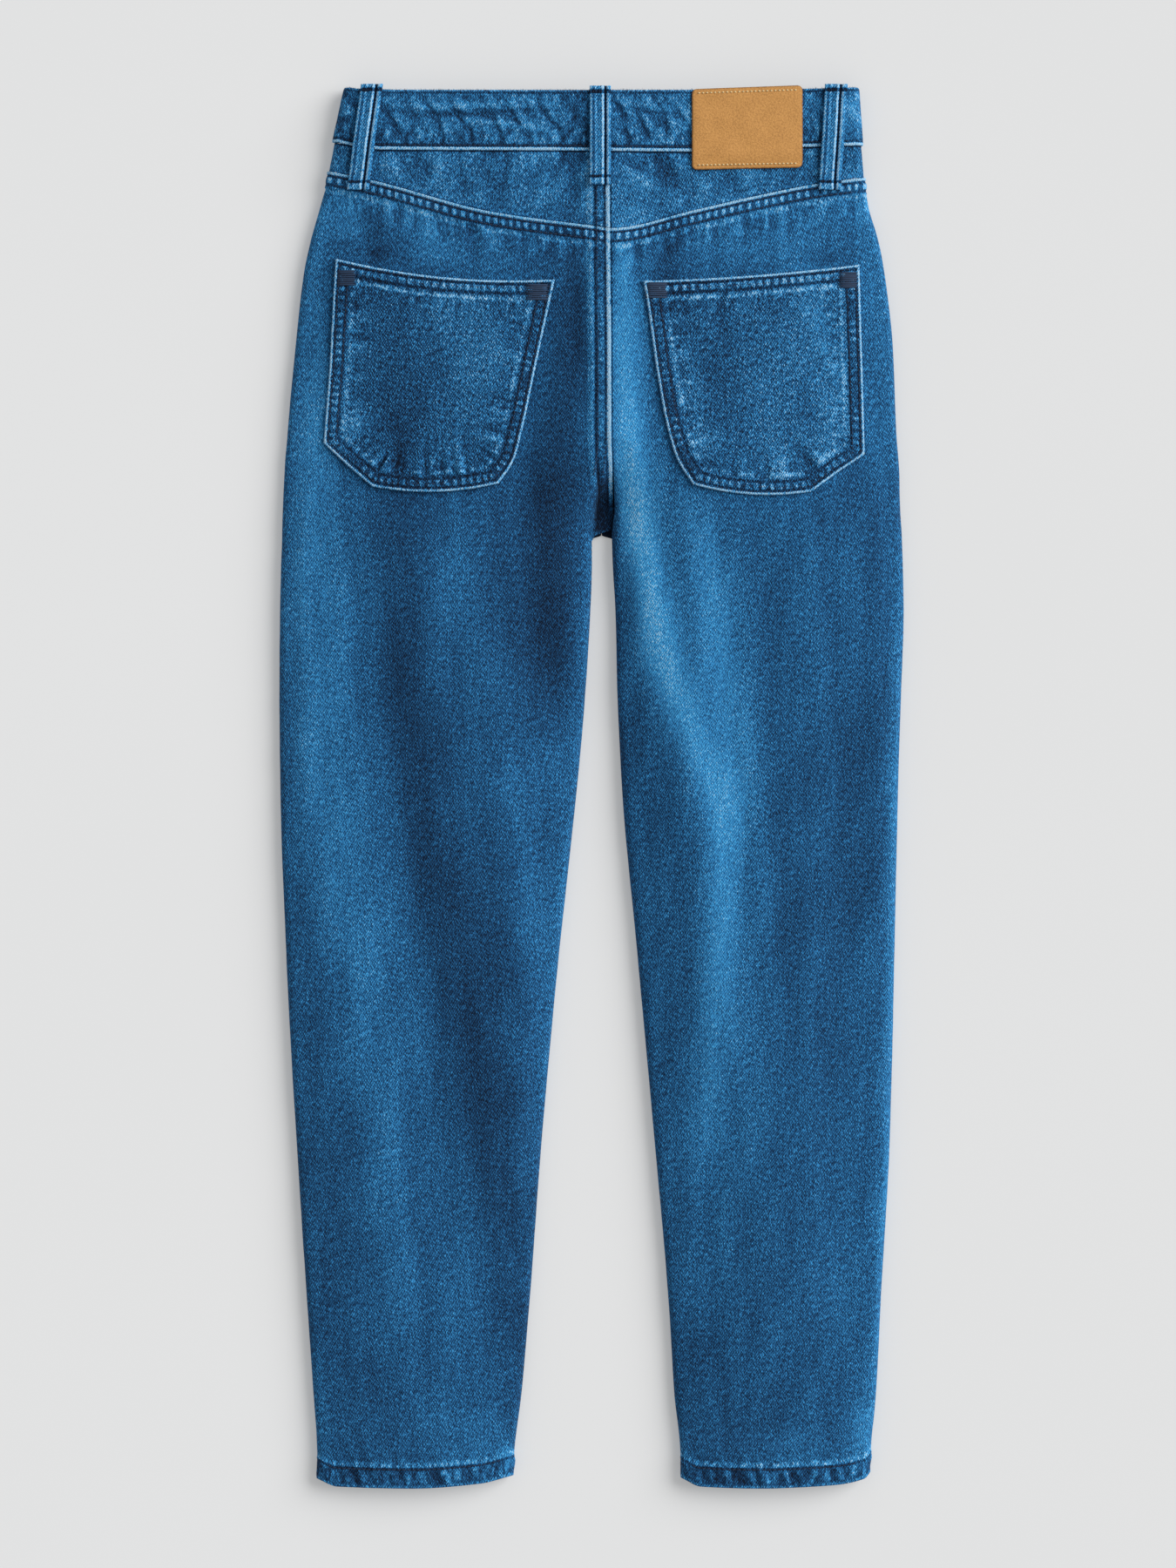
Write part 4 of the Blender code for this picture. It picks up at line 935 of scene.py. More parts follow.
def strip_pattern(graph, name, distance, along, rungs, twill, seed):
    """How a strip is broken up along its seam."""
    if name == "rope":
        ticks = graph.maths("SINE", (along * 0.8 + distance) * (2.0 * math.pi / 1.15))
        gaps = graph.noise(graph.vector(along * 0.42, distance * 0.5, seed), 1.0, 3.0, 0.7)
        return graph.step(gaps, 0.24, 0.48) * (0.84 + 0.16 * ticks)
    if name == "rungs":
        uneven = graph.noise(graph.vector(along * 0.20, distance * 0.3, seed + 2.0), 1.0, 2.0)
        return graph.step(rungs, -0.45, 0.7) * graph.step(uneven, 0.12, 0.52)
    if name == "stitches":
        return 0.8 + 0.2 * graph.maths("SINE", along * (2.0 * math.pi / STITCH_PITCH))
    if name == "fringe":
        ragged = graph.noise(graph.vector(along * 0.62, distance * 0.20, seed + 4.0), 1.0, 3.0, 0.7)
        return graph.step(ragged, 0.38, 0.66)
    if name == "streaks":
        streaky = graph.noise(graph.vector(along * 0.30, distance * 0.07, seed + 6.0), 1.0, 3.0)
        return graph.step(streaky, 0.42, 0.66) - 0.35
    if name == "twill":
        return 0.8 + 0.3 * twill
    return graph.step(distance, -2.0, -1.9)


def denim_weave(g, u, v):
    """Twill lines, slanting flecks, grains and a broad cloudiness, all from the grain coordinates."""
    wobble = g.noise(g.vector(u * 0.45, v * 0.2), 1.0, 2.0)
    turns = (u * TWILL_ACROSS - v * TWILL_DOWN) * (2.0 * math.pi / TWILL_PITCH)
    twill = g.maths("SINE", turns + wobble * 3.0)
    across = u * FLECK_ACROSS + v * FLECK_DOWN
    along = u * FLECK_DOWN - v * FLECK_ACROSS
    flecks = g.step(g.noise(g.vector(across * 1.45, along * 0.36), 1.0, 2.0, 0.6), 0.34, 0.68)
    grains = g.step(g.noise(g.vector(across * 1.60, along * 0.72, 4.0), 1.0, 2.0, 0.7), 0.32, 0.70)
    mottle = g.noise(g.vector(u * 0.24, v * 0.09, 8.0), 1.0, 2.0, 0.6)
    return twill, flecks, grains, mottle


def denim(name, seams, tone=0.0, fine=1.0):
    """Washed twill denim with the given seams; tone makes it paler, fine makes its grain stronger."""
    g = Graph(name)
    u, v = g.field("u"), g.field("v")
    twill, flecks, grains, mottle = denim_weave(g, u, v)
    # The wash bands hold painted shade and highlights as well as real fading; crest makes raised relief paler
    # and hollows darker, real wear on seam puckers and painted shade on folds and creases
    shade = DENIM_SHADE + tone + WASH_AND_SHADE_SHARE * g.field("wash") + CREST_SHARE * g.field("crest")
    shade = shade + MOTTLE_SHARE * (mottle - 0.5)
    calm = 1.0 - 0.35 * g.step(g.field("wash"), 0.2, 0.9)
    shade = shade + fine * calm * (0.11 * twill + 0.42 * (flecks - 0.5) + 0.32 * (grains - 0.5))
    for i, seam in enumerate(seams):
        distance, along = g.field(seam.distance), g.field(seam.along)
        rungs = g.maths("SINE", along * (2.0 * math.pi / LADDER_PITCH))
        for strip in SEAM_STRIPS[seam.kind]:
            pattern = strip_pattern(g, strip.pattern, distance, along, rungs, twill, 9.0 * i + strip.start)
            amount = strip.amount * g.band(distance, strip.start, strip.stop, strip.soft)
            if seam.shown:
                amount = amount * g.field(seam.shown)
            shade = shade + amount * pattern
    g.colour(shade, INDIGO)
    finish_cloth(g, 0.35 * twill + 0.5 * flecks + 0.6 * grains)
    return g.material


def finish_cloth(g, height):
    """Matt cotton with a faint nap."""
    g.shader.inputs["Roughness"].default_value = 0.9
    g.shader.inputs["Specular IOR Level"].default_value = 0.12
    g.shader.inputs["Sheen Weight"].default_value = 0.05
    g.shader.inputs["Sheen Roughness"].default_value = 0.6
    g.shader.inputs["Sheen Tint"].default_value = (0.45, 0.65, 0.9, 1.0)
    g.relief(height, 0.00040)


# Colours of the other finishes, from dark to pale
LEATHER_TONES = (
    (0.0, (0.19, 0.080, 0.018)),
    (0.5, (0.55, 0.265, 0.072)),
    (1.0, (0.70, 0.38, 0.12)),
)
BRASS_TONES = ((0.3, (0.16, 0.12, 0.08)), (0.7, (0.42, 0.34, 0.24)))
SURFACE_TONES = ((0.2, (0.515, 0.515, 0.515)), (0.8, (0.525, 0.525, 0.525)))


def leather(name):
    """Smooth tan leather with a fine grain and a darker edge."""
    g = Graph(name)
    u, v = g.field("u"), g.field("v")
    grain = g.step(g.noise(g.vector(u, v), 0.85, 4.0, 0.7), 0.3, 0.7)
    cloud = g.noise(g.vector(u * 0.12, v * 0.12), 1.0, 3.0)
    edge = g.step(g.field("edge"), 1.2, 0.0)
    share = 0.46 + 0.25 * (cloud - 0.5) + 0.30 * (grain - 0.5) - 0.35 * edge
    g.colour(share, LEATHER_TONES)
    g.shader.inputs["Roughness"].default_value = 0.62
    g.shader.inputs["Specular IOR Level"].default_value = 0.3
    g.relief(grain, 0.00012)
    return g.material


def thread(name, colour):
    """Twisted sewing thread."""
    g = Graph(name)
    dark = tuple(0.6 * c for c in colour)
    g.colour(g.own_noise(2600.0, 2.0), ((0.3, dark), (0.7, colour)))
    g.shader.inputs["Roughness"].default_value = 0.7
    return g.material


def metal(name):
    """Antique brass with a slight mottling."""
    g = Graph(name)
    cloud = g.own_noise(900.0, 3.0)
    g.colour(cloud, BRASS_TONES)
    g.shader.inputs["Metallic"].default_value = 1.0
    g.shader.inputs["Roughness"].default_value = 0.38
    g.relief(cloud, 0.0001)
    return g.material


def backdrop(name):
    """Matt pale grey surface with a faint glow of painted light, as a light table would give, so that shadows
    on it stay pale.
    """
    g = Graph(name)
    g.colour(g.own_noise(3.0, 2.0), SURFACE_TONES)
    g.shader.inputs["Roughness"].default_value = 1.0
    g.shader.inputs["Specular IOR Level"].default_value = 0.0
    # Painted light: the floor glows so that the shadows on it stay pale
    g.shader.inputs["Emission Color"].default_value = (0.99, 1.0, 1.0, 1.0)
    g.shader.inputs["Emission Strength"].default_value = 0.235
    return g.material


# Pieces, with the rows and columns between the fine edges of each grid
BACK_ROWS = 200
BACK_COLUMNS = 116
YOKE_EDGE_ROWS = (0.0, 0.8, 1.8, 3.0)
YOKE_ROWS = 30
YOKE_COLUMNS = 130
POCKET_ROWS = 92
FRONT_ROWS_ABOVE = 90
FRONT_ROWS_BELOW = 190
FRONT_COLUMNS = 90


def seam_upright(points, normals):
    """Keep the wall upright along the seat seam, so that the two sides don't lean into each other."""
    upright = smooth_step(points[:, -1, 1], LEG_BLEND_END + 20.0, LEG_BLEND_START - 7.0)
    normals[:, -1, 0] *= 1.0 - upright
    normals[:, -1] /= np.linalg.norm(normals[:, -1], axis=1, keepdims=True)
    return normals


def back_faces(grid, normals, relief, on_top):
    """Outer and inner faces of a piece of the back, with its relief where it faces up."""
    outer = grid.points + normals * (relief * on_top)[..., None]
    return outer, grid.points - seam_upright(grid.points, normals) * DENIM


def cloth_fields(side, grid, crest, seed):
    """The fields that a denim material reads: grain coordinates, wash and painted shade, relief and seam
    distances.
    """
    x, y = grid.points[..., 0], grid.points[..., 1]
    return {
        # At the crotch recess the wash field is darkened with painted shade
        "u": SIGN[side] * grid.from_side, "v": y, "wash": wash(x, y) - RECESS_SHADE * recess(side, x, y),
        "crest": np.clip(crest, -1.3, 1.3), "from_seam": grid.from_seam, "from_top": grid.from_top,
        "from_foot": grid.from_foot, "place": uneven_along(x, seed),
        "seat_on": smooth_step(y, 158.0, 182.0),
    }


def back_panel(side):
    """One back leg."""
    half_gap = 0.5 * SEAM_GAP
    grid = back_grid(side, lambda x: line_y(YOKE_SEAM, x) - half_gap, lambda x: line_y(HEMS[side], x),
                     TOP_SPACING, BACK_ROWS, HEM_SPACING, BACK_COLUMNS)
    points = grid.points
    x, y = points[..., 0], points[..., 1]
    normals = grid_normals(points)
    seed = 11 if side == "left" else 23
    on_top = smooth_step(points[..., 2], 3.0, 6.0)
    puckers = fell_puckers(grid.from_top, x, seed) + hem_puckers(grid.from_foot, x, seed + 2)
    soft = soft_cloth(x, y, seed + 4) * smooth_step(grid.from_top, 10.0, 20.0)
    relief = fell_band(grid.from_top, x, seed) + puckers
    seams = [Seam("from_top", "place", "fell"), Seam("from_foot", "place", "hem")]
    if side == "left":
        seat = seat_fell(grid.from_seam, y, seed)
        beside = smooth_step(grid.from_seam, 9.0, 15.0)
        relief = np.where(grid.from_seam < SEAT_FELL_REACH, np.maximum(seat, relief * beside), relief)
        seams.append(SEAT_SEAM)
    relief = relief + hem_profile(grid.from_foot) + soft
    outer, inner = back_faces(grid, normals, relief, on_top)
    crest = puckers + 0.8 * soft + 0.35 * fold_height(x, y, FINE_FOLDS)
    name = "denim_back_" + side
    piece = wall_piece(name, outer, inner, denim(name, seams), cloth_fields(side, grid, crest, seed))
    dress(piece, "back_panel_" + side, (0.215, 0.79))


# Creases: short troughs, each with the place of its middle, its length, slant, width and depth
Crease = namedtuple("Crease", "x y length slant width depth")
YOKE_CREASES = (
    Crease(46, 366, 34, -56, 5, 1), Crease(30, 362, 30, -38, 4, -0.6),
    Crease(22, 372, 22, -30, 3.5, 0.6), Crease(66, 360, 22, -62, 4.5, -0.5),
    Crease(84, 361, 20, -70, 5, 0.6), Crease(104, 372, 18, -75, 4.5, 0.5),
    Crease(135, 370, 18, -60, 4.5, -0.5), Crease(-10, 362, 30, -88, 4.5, 0.8),
    Crease(-20, 358, 26, 72, 4, -0.5), Crease(-34, 366, 22, 60, 4.5, 0.5),
    Crease(-58, 370, 18, 70, 4.5, -0.5), Crease(-78, 362, 24, -68, 5, 0.6),
    Crease(-100, 370, 18, -60, 4, 0.5), Crease(-118, 368, 18, -50, 4.5, -0.6),
)


def crease_height(x, y, creases):
    """Total of short soft troughs, each with a slight ridge beside it."""
    total = np.zeros(np.broadcast(x, y).shape)
    for c in creases:
        slant = math.radians(c.slant)
        along = (x - c.x) * math.cos(slant) + (y - c.y) * math.sin(slant)
        aside = -(x - c.x) * math.sin(slant) + (y - c.y) * math.cos(slant)
        fade = np.exp(-0.5 * (along / (0.36 * c.length)) ** 2)
        trough = np.exp(-0.5 * (aside / (0.55 * c.width)) ** 2)
        ridge = np.exp(-0.5 * ((aside - 1.7 * c.width) / (0.8 * c.width)) ** 2)
        total = total + c.depth * fade * (0.5 * ridge - trough)
    return total


def yoke(side):
    """One half of the yoke."""
    half_gap = 0.5 * SEAM_GAP
    grid = back_grid(side, lambda x: line_y(WAISTBAND_FOOT, x) - half_gap,
                     lambda x: line_y(YOKE_SEAM, x) + half_gap,
                     YOKE_EDGE_ROWS, YOKE_ROWS, YOKE_EDGE_ROWS[::-1], YOKE_COLUMNS)
    points = grid.points
    x, y = points[..., 0], points[..., 1]
    normals = grid_normals(points)
    on_top = smooth_step(points[..., 2], 5.0, 9.0)
    seed = 31 if side == "left" else 37
    soft = soft_cloth(x, y, seed) + 1.1 * crease_height(x, y, YOKE_CREASES)
    soft = soft + 0.25 * waves(x - 0.5 * y, y, seed + 2, 13.0, 34.0)
    soft = soft + 0.5 * waves(x, 0.1 * y, seed + 5, 9.0, 60.0, 10) * np.exp(-grid.from_top / 7.0)
    soft = soft * smooth_step(grid.from_foot, 0.0, 4.0) * smooth_step(grid.from_top, -0.5, 2.0)
    relief = soft
    seams = [Seam("from_top", "place", "under_edge")]
    if side == "left":
        seat = seat_fell(grid.from_seam, y, seed)
        relief = np.where(grid.from_seam < SEAT_FELL_REACH, np.maximum(seat, relief * 0.3), relief)
        seams.append(SEAT_SEAM)
    outer, inner = back_faces(grid, normals, relief, on_top)
    name = "denim_yoke_" + side
    fields = cloth_fields(side, grid, soft, seed)
    piece = wall_piece(name, outer, inner, denim(name, seams, tone=0.035, fine=1.2), fields)
    dress(piece, "yoke_" + side, (0.19, 0.055))


def front_waist_y(x, line):
    """A waist line on the front, which dips softly towards the centre front."""
    across = np.clip(np.abs(x - CENTRE_FRONT_X) / FRONT_HALF_WIDTH, 0.0, 1.0)
    ends = np.where(x < CENTRE_FRONT_X, line[0].y, line[-1].y)
    middle = 0.5 * (line[0].y + line[-1].y)
    bow = 0.5 + 0.5 * np.cos(math.pi * across)
    return between(ends, middle - FRONT_DIP, bow)


def front_edge(side, y):
    """The front panel's inner edge: the centre front above the crotch, the inseam below it."""
    sign = SIGN[side]
    inner = outline(side + "_inner", y)
    turn = smooth_step(y, INSEAM_TURN_START, INSEAM_TURN_END)
    flap = smooth_step(y, INSEAM_TURN_END, INSEAM_FLAP_END)
    reach = EDGE_RADIUS * (1.0 - np.cos(0.5 * math.pi * turn)) + flap * (TURN_UNDER - EDGE_RADIUS)
    inseam = inner - sign * (reach + SEAM_GAP + TURN_CLEARANCE * (1.0 - flap))
    centre = CENTRE_FRONT_X - sign * 0.5 * SEAM_GAP
    below = smooth_step(y, CROTCH_Y + 1.5, CROTCH_Y - 1.5)
    return centre + (inseam - centre) * below


def front_panel(side):
    """One front leg, flat on the floor."""
    sign = SIGN[side]
    share = np.linspace(0.0, 1.0, FRONT_COLUMNS)[None, :]
    rows_above = np.linspace(0.0, 1.0, FRONT_ROWS_ABOVE)[:-1][:, None]
    crotch = np.concatenate([np.linspace(161.0, 152.0, 4), np.linspace(150.8, 147.2, 8),
                             np.linspace(145.0, 108.0, 14)])[:, None]
    rows_below = np.linspace(0.0, 1.0, FRONT_ROWS_BELOW)[1:][:, None]

    def x_at(y):
        outer = outline(side + "_side", y) + sign * (TURN_UNDER + SIDE_GAP)
        return outer + (front_edge(side, y) - outer) * share

    x_top = x_at(np.full((1, FRONT_COLUMNS), 375.0))
    top = front_waist_y(x_top, WAISTBAND_FOOT) - FRONT_TOP_GAP
    foot = line_y(HEMS[side], x_at(np.full((1, FRONT_COLUMNS), -415.0))) + FRONT_HEM_SHORTER
    upper = top + (crotch[0] - top) * rows_above
    lower = crotch[-1] + (foot - crotch[-1]) * rows_below
    y = np.concatenate([upper, np.repeat(crotch, FRONT_COLUMNS, axis=1), lower])
    x = x_at(y)
    z = floor_lift(y)
    from_foot = y - foot
    outer = np.stack([x, y, z], axis=-1)
    up = np.array([0.0, 0.0, 1.0])
    inner = outer + up * (DENIM + hem_body(from_foot))[..., None]
    # Painted shade on the front near the crotch, where it lies in shadow under the back
    dark = smooth_step(y, 95.0, 128.0) * smooth_step(y, 230.0, 190.0)
    soft = soft_cloth(x, y, 91)
    fields = {
        "u": sign * np.abs(x - outline(side + "_side", y)), "v": y, "wash": 0.6 * wash(x, y) - 2.4 * dark,
        "crest": soft + 0.25 * fold_height(x, y, FINE_FOLDS), "place": uneven_along(x, 93),
        "from_foot": from_foot, "from_top": top - y,
    }
    seams = [Seam("from_foot", "place", "hem"), Seam("from_top", "place", "under_edge")]
    name = "denim_front_" + side
    piece = wall_piece(name, outer, inner, denim(name, seams), fields)
    dress(piece, "front_panel_" + side, (0.185, 0.80))


def waist_turn(side, edge, start, stop):
    """Points round one end of the waistband's section, between two angles in degrees."""
    radius = EDGE_RADIUS + WAISTBAND_RAISE
    for angle in np.radians(np.linspace(start, stop, WAIST_TURN_POINTS)):
        x = edge + SIGN[side] * EDGE_RADIUS - SIGN[side] * radius * math.cos(angle)
        z = WAIST_LIFT + EDGE_RADIUS + radius * math.sin(angle)
        yield (x, z, edge, 0.5 - 0.5 * math.sin(angle))


def waist_ring(y):
    """Points around the waistband's face at y: x, z, the x that its edges follow, the front's share."""
    left, right = float(outline("left_side", y)), float(outline("right_side", y))
    half_gap = 0.5 * SEAM_GAP
    under = WAIST_LIFT - WAISTBAND_RAISE
    path = []
    for x in np.linspace(CENTRE_FRONT_X - half_gap, left + EDGE_RADIUS, WAIST_FRONT_POINTS):
        path.append((x, under, x, 1.0))
    path.extend(waist_turn("left", left, -80.0, 80.0))
    xs = np.linspace(left + EDGE_RADIUS, right - EDGE_RADIUS, WAIST_BACK_POINTS)
    ys = np.full_like(xs, y)
    left_height = back_height("left", xs, ys, FOLDS)
    right_height = back_height("right", xs, ys, FOLDS)
    height = np.where(xs < CENTRE_FRONT_X, left_height, right_height)
    path.extend(zip(xs, height + WAISTBAND_RAISE, xs, np.zeros_like(xs)))
    path.extend(waist_turn("right", right, 80.0, -80.0))
    for x in np.linspace(right - EDGE_RADIUS, CENTRE_FRONT_X + half_gap, WAIST_FRONT_POINTS):
        path.append((x, under, x, 1.0))
    return np.array(path)


WAIST_CREASES = (
    Crease(-118, 396, 14, -55, 1.7, 0.6), Crease(-106, 389, 12, -85, 1.5, 0.7),
    Crease(-96, 405, 16, -50, 1.8, 0.5), Crease(-90, 391, 15, -78, 1.5, 0.7),
    Crease(-80, 401, 17, -56, 1.7, 0.6), Crease(-72, 389, 11, -85, 1.5, 0.7),
    Crease(-62, 407, 13, -45, 1.8, 0.5), Crease(-56, 393, 18, -70, 1.6, 0.8),
    Crease(-46, 399, 20, -58, 1.8, 0.9), Crease(-37, 389, 12, -76, 1.5, 0.6),
    Crease(-28, 402, 20, -52, 1.7, 0.8), Crease(-19, 391, 15, -74, 1.8, 0.7),
    Crease(-10, 399, 13, -100, 1.7, 0.5), Crease(18, 403, 18, -58, 1.7, 0.9),
    Crease(21, 390, 13, -72, 1.5, 0.7), Crease(30, 396, 18, -66, 1.8, 0.9),
    Crease(41, 405, 13, -55, 1.6, 0.5), Crease(45, 392, 14, -82, 1.7, 0.8),
    Crease(54, 399, 13, -60, 1.6, 0.5), Crease(131, 396, 13, -75, 1.7, 0.6),
    Crease(-148, 398, 12, 10, 2.2, 0.6),
    Crease(-74, 401.5, 74, 2, 2.6, 0.9), Crease(-118, 404, 26, -4, 2.2, 0.6),
    Crease(36, 402, 34, -8, 2.2, 0.5), Crease(-60, 396, 44, -6, 2, -0.5),
)


# Rows of the waistband by their depth from its top edge, and where its first and last sections lie
WAISTBAND_DEPTH = 37.0
WAISTBAND_ROWS = np.concatenate([
    [0.0, 0.5, 1.1, 2.0, 3.2], np.linspace(4.5, 32.5, 22), [33.6, 34.5, 35.4, 36.2, 36.7, WAISTBAND_DEPTH],
])
WAIST_TOP_SECTION = 417.0
WAIST_FOOT_SECTION = 382.0


def waistband():
    """The waistband all round."""
    shares = WAISTBAND_ROWS / WAISTBAND_DEPTH
    rows, fronts = [], []
    for share in shares:
        ring = waist_ring(WAIST_TOP_SECTION + (WAIST_FOOT_SECTION - WAIST_TOP_SECTION) * share)
        line_x, front = ring[:, 2], ring[:, 3]
        back_y = between(line_y(WAISTBAND_TOP, line_x), line_y(WAISTBAND_FOOT, line_x), share)
        front_y = between(front_waist_y(line_x, WAISTBAND_TOP), front_waist_y(line_x, WAISTBAND_FOOT), share)
        rows.append(np.stack([ring[:, 0], between(back_y, front_y, front), ring[:, 1]], axis=-1))
        fronts.append(front)
    points = np.array(rows)
    normals = grid_normals(points)
    front = np.array(fronts)
    x, y = points[..., 0], points[..., 1]
    depth = shares[:, None] * WAISTBAND_DEPTH * np.ones_like(x)
    from_foot = WAISTBAND_DEPTH - depth
    middle_section = points[len(shares) // 2][:, [0, 2]]
    around = np.ones_like(depth) * section_lengths(middle_section)[None, :]
    round_edge = -0.55 * np.exp(-depth / 0.7) - 0.45 * np.exp(-from_foot / 0.5)
    edge = ridges(from_foot, WAISTBAND_RIDGES)
    inside = smooth_step(depth, 0.5, 4.0) * smooth_step(from_foot, 2.0, 5.5)
    puckers = 1.0 * crease_height(x, y, WAIST_CREASES) + 0.20 * waves(x + 0.5 * y, y, 51, 12.0, 22.0, 16)
    puckers = puckers + 0.5 * waves(x, 0.1 * y, 53, 7.5, 60.0, 12) * np.exp(-from_foot / 6.0)
    on_top = 1.0 - smooth_step(front, 0.15, 0.6)
    relief = round_edge + edge * on_top + puckers * inside * on_top
    outer = points + normals * relief[..., None]
    inner = points - normals * (WAISTBAND_WALL + round_edge)[..., None]
    fields = {
        "u": around, "v": y, "wash": wash(x, y) * (1.0 - 0.5 * front),
        "crest": np.clip(2.0 * puckers * inside, -1.1, 1.6),
        "place": uneven_along(around, 55), "from_foot": from_foot, "from_top": depth,
    }
    seams = [Seam("from_foot", "place", "foot_edge"), Seam("from_top", "place", "top_edge")]
    name = "denim_waistband"
    piece = wall_piece(name, outer, inner, denim(name, seams, tone=0.065, fine=1.15), fields)
    dress(piece, "waistband", (0.66, 0.037))


def on_back(plan, side, lift):
    """Points of a plan grid moved out from the back's surface by a height."""
    x, y = plan[..., 0], plan[..., 1]
    height = np.where(side == "left", back_height("left", x, y), back_height("right", x, y))
    normal = np.where((side == "left")[..., None], back_normal("left", x, y), back_normal("right", x, y))
    base = np.stack([x, y, height], axis=-1)
    return base + normal * lift[..., None], base, normal


def distance_to_outline(plan, edge_points):
    """Distance of each point of a plan grid from a closed outline, and the place along it that is nearest."""
    best = np.full(plan.shape[:2], 1e9)
    place = np.zeros(plan.shape[:2])
    travelled = 0.0
    for a, b in zip(edge_points, np.roll(edge_points, -1, axis=0)):
        span = b - a
        length = float(np.hypot(*span))
        t = np.clip(((plan - a) @ span) / max(length ** 2, 1e-9), 0.0, 1.0)
        gap = np.linalg.norm(plan - a - t[..., None] * span, axis=-1)
        place = np.where(gap < best, travelled + t * length, place)
        best = np.minimum(best, gap)
        travelled += length
    return best, place


def pocket_plan(side, rows, cols):
    """Plan grid of a pocket; its outer side is straight with corners, its inner side is rounded."""
    table = POCKETS[side]
    share = np.linspace(0.0, 1.0, len(table))
    at = {}
    for key in PocketRow._fields:
        values = [getattr(row, key) for row in table]
        straight = key.startswith(side)
        at[key] = np.interp(rows, share, values) if straight else smooth_curve(rows, share, values)
    v = cols[None, :]
    x = between(at["left_x"][:, None], at["right_x"][:, None], v)
    y = between(at["left_y"][:, None], at["right_y"][:, None], v)
    y = y - at["sag"][:, None] * 4.0 * v * (1.0 - v)
    return np.stack([x, y], axis=-1)


def pocket(side):
    """A patch pocket with its turned edges, stitched band and puckers."""
    fine = np.array(POCKET_EDGE_SPACING) / POCKET_SPAN
    middle = np.linspace(fine[-1], 1.0 - fine[-1], POCKET_ROWS)[1:-1]
    spread = np.concatenate([fine, middle, 1.0 - fine[::-1]])
    plan = pocket_plan(side, spread, spread)
    rim = np.concatenate([plan[0], plan[1:, -1], plan[-1, ::-1][1:], plan[::-1, 0][1:-1]])
    closed, place = distance_to_outline(plan, rim[::2])
    x, y = plan[..., 0], plan[..., 1]
    from_mouth = np.abs(plan[0][None, :, 1] - y)
    seed = 61 if side == "left" else 67
    band = 0.55 * smooth_step(closed, 10.4, 9.0)
    edge = ridges(closed, POCKET_RIDGES) - 0.7 * np.exp(-closed / 0.35)
    rungs = 0.50 * ladder(place, seed) * bump(closed, 5.2, 3.6)
    ridge = 0.3 * bump(closed, 11.6, 2.0) * smooth_step(from_mouth, 9.0, 14.0)
    fade = smooth_step(closed, 8.5, 11.0) * np.exp(-np.clip(closed - 10.0, 0.0, None) / 11.0)
    near_foot = 0.55 + 0.75 * smooth_step(y, 235.0, 190.0)
    puckers = 0.8 * near_foot * fade * waves(place, 0.1 * closed, seed + 3, 9.0, 60.0)
    puckers = puckers + near_foot * fade * 0.6 * waves(place, 0.1 * closed, seed + 7, 17.0, 60.0)
    soft = soft_cloth(x, y, seed + 6) * smooth_step(closed, 8.0, 20.0)
    soft = soft + 0.2 * waves(x + 0.4 * y, y, seed + 9, 24.0, 60.0) * smooth_step(closed, 8.0, 20.0)
    lift = POCKET_SEAT + POCKET_CLOTH + band + edge + rungs + ridge + puckers + soft
    lift = np.maximum(lift, POCKET_SEAT + 0.5)
    outer, base, normal = on_back(plan, np.full(x.shape, side), lift)
    inner = base + normal * POCKET_SEAT
    nearest_side = np.minimum(spread, 1.0 - spread)
    on_ends = smooth_step(nearest_side[None, :] - nearest_side[:, None], -0.02, 0.02)
    on_sides = np.clip(0.55 + 0.5 * waves(place, 0.0 * place, seed + 8, 30.0, 30.0), 0.0, 1.0)
    fields = {
        "u": x, "v": y, "wash": wash(x, y), "closed": closed, "place": uneven_along(place, seed),
        "rung_on": on_ends + (1.0 - on_ends) * on_sides,
        "crest": np.clip(puckers + 0.6 * soft, -1.2, 1.2), "from_mouth": from_mouth,
    }
    name = "denim_pocket_" + side
    seams = [Seam("closed", "place", "pocket"), Seam("closed", "place", "pocket_rungs", "rung_on"),
             Seam("from_mouth", "u", "mouth")]
    piece = wall_piece(name, outer, inner, denim(name, seams, tone=-0.01, fine=1.35), fields)
    dress(piece, "back_pocket_" + side, (0.135, 0.14))


def loop_piece(name, outer, inner, across, y, from_top, from_foot):
    """A belt loop's wall, with the fields that its cloth reads."""
    fields = {"u": across, "v": y, "across": across, "from_top": from_top, "from_foot": from_foot}
    return wall_piece(name, outer, inner, LOOK["loop"], fields)


